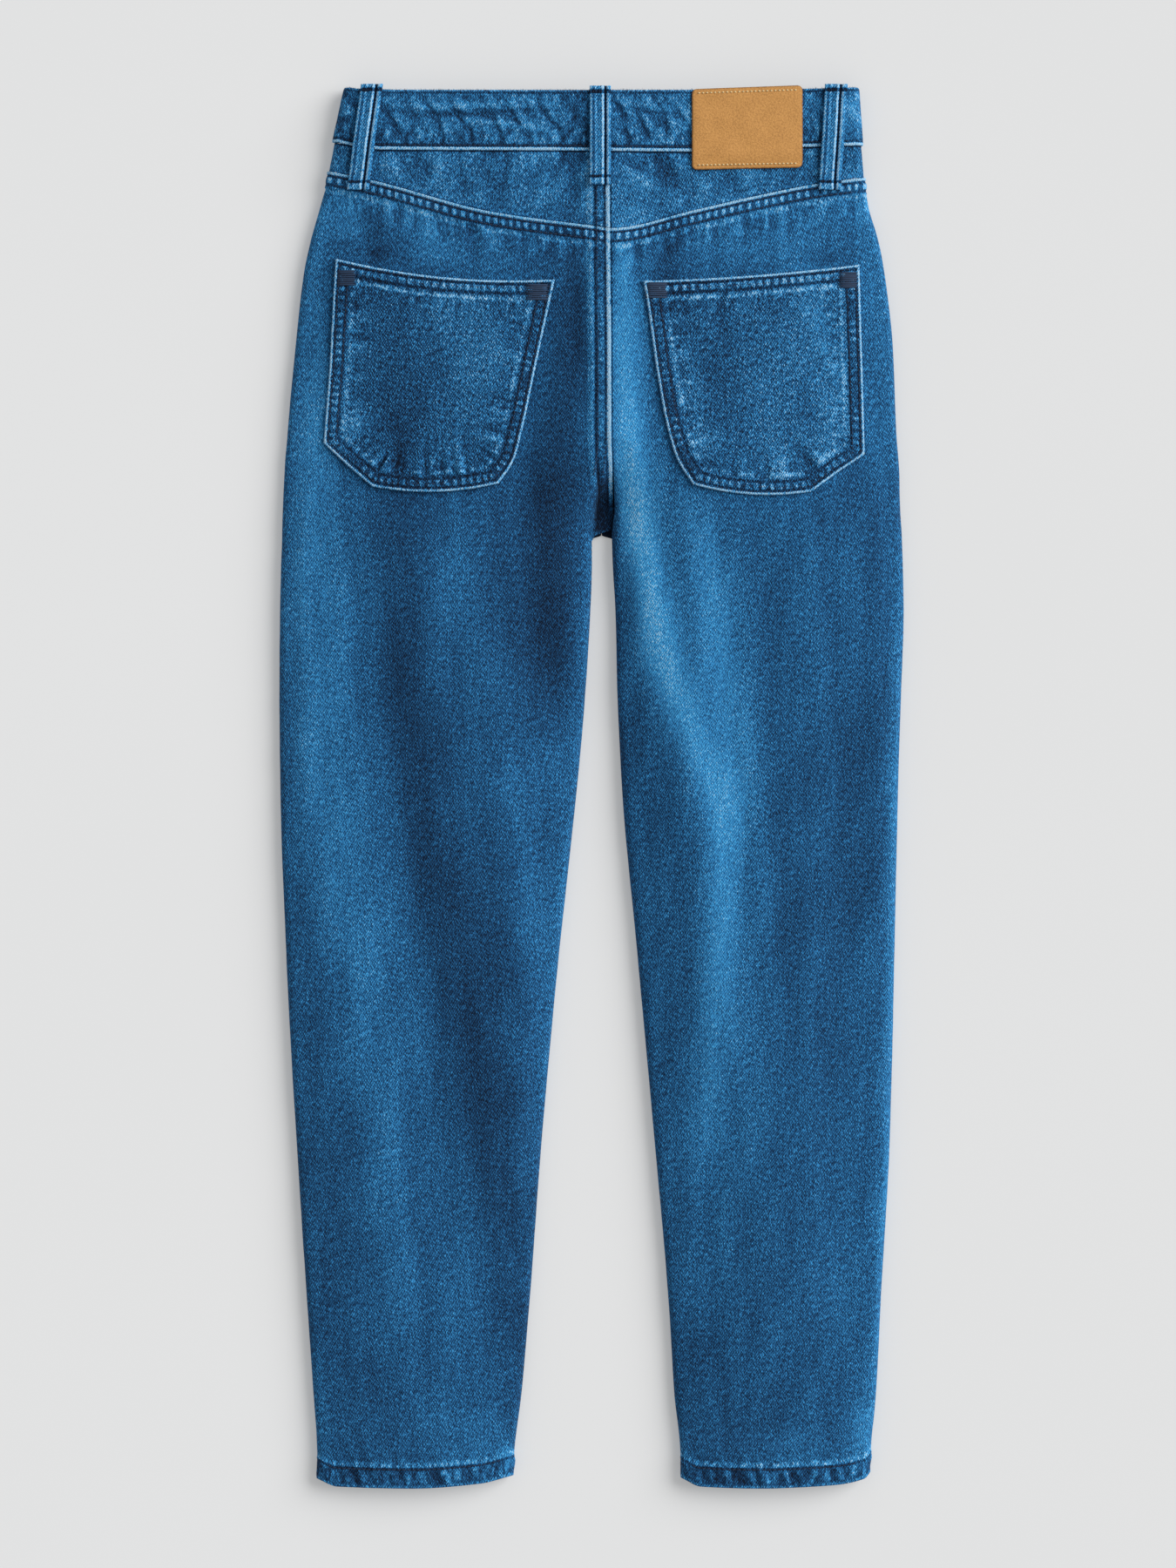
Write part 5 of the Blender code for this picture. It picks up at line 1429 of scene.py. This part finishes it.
def belt_loop(loop):
    """A belt loop: a folded strip with two worn ridges, doubled and bar-tacked at its ends."""
    length = math.hypot(loop.top_x - loop.foot_x, loop.top_y - loop.foot_y)
    t = np.concatenate([[0.0, 0.008, 0.02], np.linspace(0.035, 0.965, 64), [0.98, 0.992, 1.0]])
    u = np.concatenate([[-0.5, -0.485, -0.46], np.linspace(-0.42, 0.42, 34), [0.46, 0.485, 0.5]])
    t, u = np.meshgrid(t, u, indexing="ij")
    x = loop.top_x + (loop.foot_x - loop.top_x) * t + u * loop.width
    y = loop.top_y + (loop.foot_y - loop.top_y) * t
    end = LOOP_END / length
    over_band = WAISTBAND_RAISE + SEAM_GAP
    over_yoke = FELL_RAISE + SEAM_GAP
    seated = over_band + (over_yoke - over_band) * smooth_step(t, 0.62, 0.8)
    low = seated + LOOP_ARCH * np.sin(np.pi * np.clip((t - 0.08) / 0.8, 0.0, 1.0)) ** 2
    ends = 0.9 * (smooth_step(t, end, 0.7 * end) + smooth_step(t, 1.0 - end, 1.0 - 0.7 * end))
    from_top = t * length
    from_foot = (1.0 - t) * length
    ends = ends - 0.8 * (np.exp(-from_top / 0.6) + np.exp(-from_foot / 0.6))
    tack = bump(from_top, LOOP_TACK_FROM_TOP, 1.8) + bump(from_foot, LOOP_TACK_FROM_FOOT, 1.8)
    across = (u + 0.5) * loop.width
    from_edge = np.minimum(across, loop.width - across)
    rounding = -0.9 * np.exp(-from_edge / 0.5)
    uneven = 0.10 * waves(across, y, 97, 5.0, 9.0)
    high = low + LOOP_CLOTH + ends - 0.7 * tack + ridges(across, LOOP_RIDGES) + rounding + uneven
    outer, base, normal = on_back(np.stack([x, y], axis=-1), side_at(x), high)
    inner = base + normal * low[..., None]
    piece = loop_piece("denim_" + loop.name, outer, inner, across, y, from_top, from_foot)
    dress(piece, loop.name, (loop.width * MM, length * MM))


# Across a belt loop, from its left edge: worn pale folds and the dark groove between them
LOOP_STRIPS = (
    Strip(0.46, 0.2, 1.4, 0.35, "rope"), Strip(-0.20, 1.9, 3.0, 0.4, "even"),
    Strip(0.20, 3.2, 4.6, 0.5, "twill"), Strip(0.14, 5.4, 6.6, 0.4, "rope"),
    Strip(0.66, 7.2, 8.5, 0.3, "rope"), Strip(-0.62, 8.8, 10.0, 0.25, "even"),
    Strip(0.62, 10.2, 11.3, 0.3, "rope"), Strip(0.14, 11.2, 12.8, 0.5, "even"),
)
LOOP_TOP_STRIPS = (Strip(0.30, -1.0, 1.8, 0.5, "fringe"), Strip(-0.62, 2.4, 4.6, 0.4, "even"))
LOOP_FOOT_STRIPS = (Strip(0.55, 0.4, 3.2, 0.5, "fringe"), Strip(-0.50, 4.0, 5.8, 0.4, "even"))


def loop_denim(name):
    """The belt loops' cloth: pale worn folds beside a dark groove, and tacked, worn ends."""
    g = Graph(name)
    u, v = g.field("u"), g.field("v")
    twill, flecks, grains, mottle = denim_weave(g, u, v)
    shade = LOOP_SHADE + 0.12 * twill + 0.3 * (flecks - 0.5) + 0.42 * (grains - 0.5) + 0.3 * (mottle - 0.5)
    parts = (("across", v, LOOP_STRIPS), ("from_top", u, LOOP_TOP_STRIPS), ("from_foot", u, LOOP_FOOT_STRIPS))
    for field, along, strips in parts:
        distance = g.field(field)
        for strip in strips:
            pattern = strip_pattern(g, strip.pattern, distance, along, twill, twill, strip.start)
            shade = shade + strip.amount * g.band(distance, strip.start, strip.stop, strip.soft) * pattern
    g.colour(shade, INDIGO)
    finish_cloth(g, 0.35 * twill + 0.5 * flecks + 0.6 * grains)
    return g.material


FRONT_LOOPS = {"left": -78.0, "right": 90.0}
FRONT_LOOP_WIDTH = 12.6
FRONT_LOOP_LENGTH = 44.0
FRONT_LOOP_THICKNESS = 1.4
FRONT_LOOP_ABOVE_EDGE = 1.5
FRONT_LOOP_RECESS = 0.45


def front_loop(side):
    """A belt loop of the front: a plain folded strip whose grooves are pressed in from below."""
    t, u = np.meshgrid(np.linspace(0.0, 1.0, 70), np.linspace(-0.5, 0.5, 44), indexing="ij")
    middle = FRONT_LOOPS[side]
    top_y = float(front_waist_y(middle, WAISTBAND_TOP)) + FRONT_LOOP_ABOVE_EDGE
    x, y = middle + u * FRONT_LOOP_WIDTH, top_y - t * FRONT_LOOP_LENGTH
    across = (u + 0.5) * FRONT_LOOP_WIDTH
    from_top, from_foot = t * FRONT_LOOP_LENGTH, (1.0 - t) * FRONT_LOOP_LENGTH
    edge = np.minimum(np.minimum(across, FRONT_LOOP_WIDTH - across), np.minimum(from_top, from_foot))
    pressed = bump(across, 9.4, 1.6) + bump(from_top, 3.5, 1.8) + bump(from_foot, 5.0, 1.8)
    rounding = FRONT_LOOP_RECESS * np.exp(-edge / 0.4)
    low = np.maximum(FRONT_LOOP_RECESS * np.clip(pressed, 0.0, 1.0), rounding)
    outer = np.stack([x, y, low], axis=-1)
    inner = np.stack([x, y, FRONT_LOOP_THICKNESS - 0.5 * rounding], axis=-1)
    piece = loop_piece("denim_front_loop_" + side, outer, inner, across, y, from_top, from_foot)
    flat = (FRONT_LOOP_WIDTH * MM, FRONT_LOOP_LENGTH * MM)
    dress(piece, "belt_loop_front_" + side, flat)


# The waist button's section from the middle of its face to its rim and back: distance out, height
BUTTON_X = -3.5
BUTTON_BELOW_EDGE = 17.0
BUTTON_SECTION = ((0.0, 0.20), (1.5, 0.22), (2.2, 0.45), (3.0, 0.52), (5.8, 0.48), (6.4, 0.22), (7.2, 0.04),
                  (8.0, 0.06), (8.4, 0.32), (8.5, 0.62), (8.5, 1.0), (8.2, 1.34), (7.6, 1.4), (0.0, 1.4))
BUTTON_SIDES = 72


def waist_button():
    """The turned metal button on the front: a dished face with a raised rim."""
    turn = np.linspace(0.0, 2.0 * math.pi, BUTTON_SIDES, endpoint=False)
    out, height = np.array(BUTTON_SECTION).T
    out = np.maximum(out, 0.02)
    centre_y = float(front_waist_y(BUTTON_X, WAISTBAND_TOP)) - BUTTON_BELOW_EDGE
    rings = np.stack([
        BUTTON_X + out[:, None] * np.cos(turn), centre_y + out[:, None] * np.sin(turn),
        height[:, None] * np.ones_like(turn),
    ], axis=-1)
    here = np.arange(BUTTON_SIDES)
    ahead = np.roll(here, -1)
    last = (len(out) - 1) * BUTTON_SIDES
    faces = [np.stack([here, ahead, ahead + BUTTON_SIDES, here + BUTTON_SIDES], axis=1) + i * BUTTON_SIDES
             for i in range(len(out) - 1)]
    half = BUTTON_SIDES // 2
    ladder = np.arange(half - 1)
    cap = np.stack([ladder, ladder + 1, BUTTON_SIDES - 2 - ladder, BUTTON_SIDES - 1 - ladder], axis=1)
    faces = np.concatenate(faces + [cap[:, ::-1], cap + last])
    piece = mesh_from("brass_button", rings.reshape(-1, 3), faces, LOOK["metal"])
    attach(piece, "root")
    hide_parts("waist_button")


def patch_ends(share):
    """Where the patch's top and foot edges lie, a share of the way across it."""
    top = PATCH_TOP_LEFT + (PATCH_TOP_RIGHT - PATCH_TOP_LEFT) * share
    foot = PATCH_FOOT_LEFT + (PATCH_FOOT_RIGHT - PATCH_FOOT_LEFT) * share
    return top, foot


def patch():
    """The bare leather patch, with rounded corners and a groove under each of its rows of stitches."""
    t, u = np.meshgrid(PATCH_SPREAD, PATCH_SPREAD, indexing="ij")
    top, foot = patch_ends(u)
    width = PATCH_RIGHT - PATCH_LEFT
    height = top - foot
    across = u * width
    down = t * height
    lower = height - down
    side_gap = np.minimum(across, width - across)
    end_gap = np.minimum(down, lower)
    corner = np.clip(PATCH_CORNER - end_gap, 0.0, None)
    pull = PATCH_CORNER - np.sqrt(np.clip(PATCH_CORNER ** 2 - corner ** 2, 0.0, None))
    squeeze = 1.0 - 2.0 * pull / width
    x = PATCH_LEFT + 0.5 * width + (across - 0.5 * width) * squeeze
    y = top - down
    edge = np.minimum(side_gap, end_gap)
    over_band = WAISTBAND_RAISE + SEAM_GAP
    low = over_band + (SEAM_GAP + 0.1 - over_band) * smooth_step(y, 378.0, 369.0)
    high = low + PATCH_LEATHER - 0.5 * np.exp(-edge / 0.5) + 0.12 * waves(x, y, 83, 22.0, 22.0)
    high = high - 0.20 * (bump(down, PATCH_STITCH_IN, 1.6) + bump(lower, PATCH_STITCH_IN, 1.6))
    outer, base, normal = on_back(np.stack([x, y], axis=-1), np.full(x.shape, "right"), high)
    inner = base + normal * low[..., None]
    fields = {"u": x, "v": y, "edge": edge}
    piece = wall_piece("tan_patch", outer, inner, LOOK["leather"], fields)
    dress(piece, "leather_patch", (0.066, 0.049))


STITCH_RINGS = 6
STITCH_SIDES = 6
SEWING_STEP = 1.5


def along_path(place, lengths, values):
    """The value of each column at a place along a path."""
    return np.array([np.interp(place, lengths, values[:, a]) for a in range(3)])


def stitch_row(path, normals, pitch, gap, radius):
    """Points and faces of a row of stitches: each a short rounded thread along a path."""
    lengths = np.concatenate([[0.0], np.cumsum(np.linalg.norm(np.diff(path, axis=0), axis=1))])
    count = max(1, int(lengths[-1] / pitch))
    points, faces = [], []
    for i in range(count):
        start = i * pitch + 0.5 * gap
        stop = (i + 1) * pitch - 0.5 * gap
        offset = len(points)
        for k in range(STITCH_RINGS):
            share = k / (STITCH_RINGS - 1.0)
            place = start + (stop - start) * share
            centre = along_path(place, lengths, path)
            normal = along_path(place, lengths, normals)
            ahead = along_path(place + 0.3, lengths, path) - centre
            ahead = ahead / max(np.linalg.norm(ahead), 1e-6)
            aside = np.cross(ahead, normal)
            rise = math.sin(math.pi * share)
            centre = centre + normal * (radius * (1.6 * rise - 0.9))
            thick = radius * (0.55 + 0.45 * rise)
            for s in range(STITCH_SIDES):
                turn = 2.0 * math.pi * s / STITCH_SIDES
                points.append(centre + thick * (math.cos(turn) * aside + math.sin(turn) * normal))
        for k in range(STITCH_RINGS - 1):
            base = offset + k * STITCH_SIDES
            for s in range(STITCH_SIDES):
                a = base + s
                b = base + (s + 1) % STITCH_SIDES
                faces.append((a, b, b + STITCH_SIDES, a + STITCH_SIDES))
        for end in (0, STITCH_RINGS - 1):
            base = offset + end * STITCH_SIDES
            ring = [base + s for s in range(STITCH_SIDES)]
            if end == 0:
                ring = ring[::-1]
            faces.append((ring[0], ring[1], ring[2], ring[3]))
            faces.append((ring[0], ring[3], ring[4], ring[5]))
    return points, faces


def sew(name, rows, finish, pitch=STITCH_PITCH, gap=0.5, radius=0.28):
    """One object of many stitch rows; each row is a path with its normals."""
    points, faces = [], []
    for path, normals in rows:
        more, quads = stitch_row(path, normals, pitch, gap, radius)
        faces.extend(tuple(i + len(points) for i in quad) for quad in quads)
        points.extend(more)
    piece = mesh_from(name, np.array(points), np.array(faces), finish)
    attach(piece, "root")


def surface_path(side, plan, lift):
    """A path on the back for sewing, with its normals."""
    plan = np.asarray(plan, dtype=float)[None]
    raised, _, normal = on_back(plan, np.full(plan.shape[:2], side), np.full(plan.shape[:2], lift))
    return raised[0], normal[0]


def line_plan(line, start, stop, shift):
    """Plan points along a seam line, shifted along the garment."""
    x = np.arange(start, stop, SEWING_STEP)
    return np.stack([x, line_y(line, x) + shift], axis=-1)


def pocket_row_plan(side, inset):
    """Plan points round the sides and foot of a pocket, a distance in from its edge."""
    share = inset / POCKET_SPAN
    down = np.linspace(share, 1.0 - share, 90)
    left = pocket_plan(side, down, np.array([share]))[:, 0]
    foot = pocket_plan(side, np.array([1.0 - share]), np.linspace(share, 1.0 - share, 60))[0]
    right = pocket_plan(side, down[::-1], np.array([1.0 - share]))[:, 0]
    return np.concatenate([left, foot[1:-1], right])


# Where the rows of stitches on each side start and stop across, on the yoke seam, the hem and the waistband
RowEnds = namedtuple("RowEnds", "side yoke hem band")
ROW_ENDS = (
    RowEnds("left", (-154.0, 10.0), (-158.0, -52.0), (-146.0, 8.0)),
    RowEnds("right", (13.0, 160.0), (60.0, 160.0), (13.0, 156.0)),
)
YOKE_ROW_SHIFTS = (-2.5, -7.9)
POCKET_ROW_INSETS = (2.6, 8.0)
SEAT_ROW_INSETS = (3.2, 8.4)
BAND_ROW_SHIFT = 2.8


def navy_sewing():
    """Rows of navy stitches on the seams."""
    rows = []
    for ends in ROW_ENDS:
        side = ends.side
        for shift in YOKE_ROW_SHIFTS:
            rows.append(surface_path(side, line_plan(YOKE_SEAM, *ends.yoke, shift), FELL_RAISE + 0.1))
        hem = line_plan(HEMS[side], *ends.hem, HEM_DEPTH - HEM_STITCH_IN)
        rows.append(surface_path(side, hem, HEM_RAISE - 0.1))
        for inset in POCKET_ROW_INSETS:
            lift = POCKET_SEAT + POCKET_CLOTH + 0.45
            rows.append(surface_path(side, pocket_row_plan(side, inset), lift))
            mouth = pocket_plan(side, np.array([inset / POCKET_SPAN]), np.linspace(0.03, 0.97, 90))[0]
            rows.append(surface_path(side, mouth, lift))
        band = line_plan(WAISTBAND_FOOT, *ends.band, BAND_ROW_SHIFT)
        rows.append(surface_path(side, band, WAISTBAND_RAISE - 0.1))
    y = np.arange(376.0, 185.0, -SEWING_STEP)
    for inset in SEAT_ROW_INSETS:
        x = outline("left_inner", y) - inset
        rows.append(surface_path("left", np.stack([x, y], axis=-1), FELL_RAISE - 0.1))
    sew("navy_stitches", rows, LOOK["navy"])


def pale_sewing():
    """A row of pale stitches along the top and one along the foot of the patch."""
    rows = []
    x = np.arange(PATCH_LEFT + 3.0, PATCH_RIGHT - 2.5, 1.0)
    top, foot = patch_ends((x - PATCH_LEFT) / (PATCH_RIGHT - PATCH_LEFT))
    top_lift = WAISTBAND_RAISE + SEAM_GAP + PATCH_LEATHER
    foot_lift = SEAM_GAP + 0.4 + PATCH_LEATHER
    for y, lift in ((top - PATCH_STITCH_IN, top_lift), (foot + PATCH_STITCH_IN, foot_lift)):
        rows.append(surface_path("right", np.stack([x, y], axis=-1), lift))
    sew("pale_stitches", rows, LOOK["pale"], pitch=2.4, gap=0.9, radius=0.42)


# Dense tacks: the side and the middle, the size, the height over the back, and whether threads run upright
Tack = namedtuple("Tack", "side x y width height lift upright")
POCKET_TACK_LIFT = POCKET_SEAT + POCKET_CLOTH + 0.75
POCKET_TACKS = (
    Tack("left", -146.2, 303.2, 12.6, 9.4, POCKET_TACK_LIFT, False),
    Tack("left", -32.4, 294.4, 14.4, 9.6, POCKET_TACK_LIFT, False),
    Tack("right", 38.6, 295.4, 14.4, 9.6, POCKET_TACK_LIFT, False),
    Tack("right", 152.6, 302.0, 12.0, 9.4, POCKET_TACK_LIFT, False),
)
TACK_THREAD = 0.34
TACK_SPACING = 3.4


def tack_rows(tack):
    """One long stitch for each thread of a tack."""
    rows = []
    across = tack.width if tack.upright else tack.height
    along = tack.height if tack.upright else tack.width
    count = int(across / (TACK_SPACING * TACK_THREAD))
    draw = np.random.default_rng(int(abs(tack.x) * 10))
    for i in range(count):
        offset = (i + 0.5) * across / count - 0.5 * across + draw.uniform(-0.15, 0.15)
        reach = np.linspace(-0.5, 0.5, 5) * (along + draw.uniform(-1.4, 0.4))
        side_step = np.full_like(reach, offset)
        x, y = (side_step, reach) if tack.upright else (reach, side_step)
        plan = np.stack([tack.x + x, tack.y + y], axis=-1)
        rows.append(surface_path(tack.side, plan, tack.lift))
    return rows


def loop_tacks():
    """Tacks across both ends of the belt loops, where the cloth is doubled."""
    tacks = []
    width = LOOP_TACK_WIDTH - 0.6
    over_cloth = SEAM_GAP + LOOP_CLOTH + 0.55
    for loop in BACK_LOOPS:
        side = str(side_at(loop.top_x))
        shift = 0.5 * (LOOP_TACK_WIDTH - loop.width) + 0.3
        top_y = loop.top_y - LOOP_TACK_FROM_TOP
        foot_y = loop.foot_y + LOOP_TACK_FROM_FOOT
        tacks.append(Tack(side, loop.top_x + shift, top_y, width, 1.7, WAISTBAND_RAISE + over_cloth, True))
        tacks.append(Tack(side, loop.foot_x + shift, foot_y, width, 1.7, FELL_RAISE + over_cloth, True))
    return tacks


def all_tacks():
    """Dark tacks on the pockets' mouths and the loops."""
    upper = [tack._replace(x=tack.x + 0.5, y=tack.y + 0.45) for tack in POCKET_TACKS]
    for name, tacks, finish, slot in (("brown_pocket_tacks", POCKET_TACKS, "brown", "denim"),
                                      ("navy_pocket_tacks", upper, "indigo", "denim"),
                                      ("loop_tacks", loop_tacks(), "navy", "loop_denim")):
        rows = []
        for tack in tacks:
            rows.extend(tack_rows(tack))
        longest = max(max(tack.width, tack.height) if not tack.upright else tack.height for tack in tacks)
        sew(name, rows, LOOK[finish], pitch=0.98 * longest - 1.0, gap=0.0, radius=TACK_THREAD)


FIBRE_LENGTH = (0.6, 1.9)
FIBRE_RADIUS = 0.07


def fibres(name, roots, seed, finish):
    """Short loose threads that stand out of a frayed edge, each a thin tapered prism."""
    draw = np.random.default_rng(seed)
    count = len(roots)
    angle = draw.normal(0.5 * math.pi, 0.5, count)
    reach = draw.uniform(*FIBRE_LENGTH, count)
    direction = np.stack([np.cos(angle), np.sin(angle), draw.uniform(-0.3, 0.3, count)], axis=-1)
    tips = roots + direction * reach[:, None]
    corners = FIBRE_RADIUS * np.array([[-1, 0, -1], [1, 0, -1], [1, 0, 1], [-1, 0, 1]])
    points = np.concatenate([roots[:, None] + corners, tips[:, None] + 0.35 * corners], axis=1).reshape(-1, 3)
    box = np.array([[0, 1, 2, 3], [7, 6, 5, 4], [0, 4, 5, 1], [1, 5, 6, 2], [2, 6, 7, 3], [3, 7, 4, 0]])
    faces = (box[None] + 8 * np.arange(count)[:, None, None]).reshape(-1, 4)
    piece = mesh_from(name, points, faces, finish)
    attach(piece, "root")


def frayed_edges():
    """Loose threads along the waistband's top edge."""
    for name, count, seed, finish in (("pale_fray", 420, 5, "pale_cotton"), ("navy_fray", 700, 6, "navy")):
        draw = np.random.default_rng(seed)
        x = draw.uniform(-147.0, 158.0, count)
        y = line_y(WAISTBAND_TOP, x) - 0.7
        lift = draw.uniform(-1.0, WAISTBAND_RAISE - 0.2, count)
        roots, _, _ = on_back(np.stack([x, y], axis=-1)[None], side_at(x)[None], lift[None])
        fibres(name, roots[0], seed, LOOK[finish])


# Stage, in metres

def floor():
    """Large pale surface just under the jeans."""
    mesh = bpy.data.meshes.new("floor")
    reach = 6.0
    level = -0.0003
    corners = [(-reach, -reach, level), (reach, -reach, level), (reach, reach, level), (-reach, reach, level)]
    mesh.from_pydata(corners, [], [(0, 1, 2, 3)])
    mesh.materials.append(backdrop("pale_grey"))
    piece = bpy.data.objects.new("floor", mesh)
    bpy.context.scene.collection.objects.link(piece)


def lights():
    """A soft key light low on the right, and even light from all round."""
    key = bpy.data.lights.new("key", "SUN")
    key.energy = 3.4
    key.angle = math.radians(48.0)
    lamp = bpy.data.objects.new("key", key)
    elevation = math.radians(33.0)
    azimuth = math.radians(24.0)
    lamp.rotation_euler = (0.5 * math.pi - elevation, 0.0, azimuth + 0.5 * math.pi)
    bpy.context.scene.collection.objects.link(lamp)
    world = bpy.data.worlds.new("studio")
    world.use_nodes = True
    sky = world.node_tree.nodes["Background"]
    sky.inputs["Color"].default_value = (0.98, 0.99, 1.0, 1.0)
    sky.inputs["Strength"].default_value = 0.43
    bpy.context.scene.world = world


def camera():
    """Straight above, with a long lens, framed as in the photograph."""
    distance = 4.0
    middle_height = 0.012
    data = bpy.data.cameras.new("camera")
    data.sensor_width = 36.0
    data.lens = data.sensor_width * distance / (PHOTO_SIZE[1] * PIXEL * MM)
    data.clip_end = 100.0
    view = bpy.data.objects.new("camera", data)
    x = (0.5 * PHOTO_SIZE[0] - GARMENT_MIDDLE[0]) * PIXEL * MM
    y = (GARMENT_MIDDLE[1] - 0.5 * PHOTO_SIZE[1]) * PIXEL * MM
    view.location = (x, y, distance + middle_height)
    bpy.context.scene.collection.objects.link(view)
    bpy.context.scene.camera = view


LOOK = {
    "loop": loop_denim("denim_loop"),
    "leather": leather("tan_leather"),
    "navy": thread("navy_thread", (0.010, 0.022, 0.060)),
    "pale": thread("pale_thread", (0.86, 0.68, 0.36)),
    "brown": thread("brown_thread", (0.017, 0.036, 0.080)),
    "indigo": thread("indigo_thread", (0.013, 0.050, 0.125)),
    "pale_cotton": thread("pale_cotton", (0.30, 0.42, 0.52)),
    "metal": metal("antique_brass"),
}


camera()
lights()
floor()
for side in ("left", "right"):
    back_panel(side)
    yoke(side)
    front_panel(side)
    pocket(side)
    front_loop(side)
waistband()
for loop in BACK_LOOPS:
    belt_loop(loop)
patch()
navy_sewing()
pale_sewing()
all_tacks()
frayed_edges()
waist_button()
bpy.context.scene.view_settings.view_transform = "Standard"
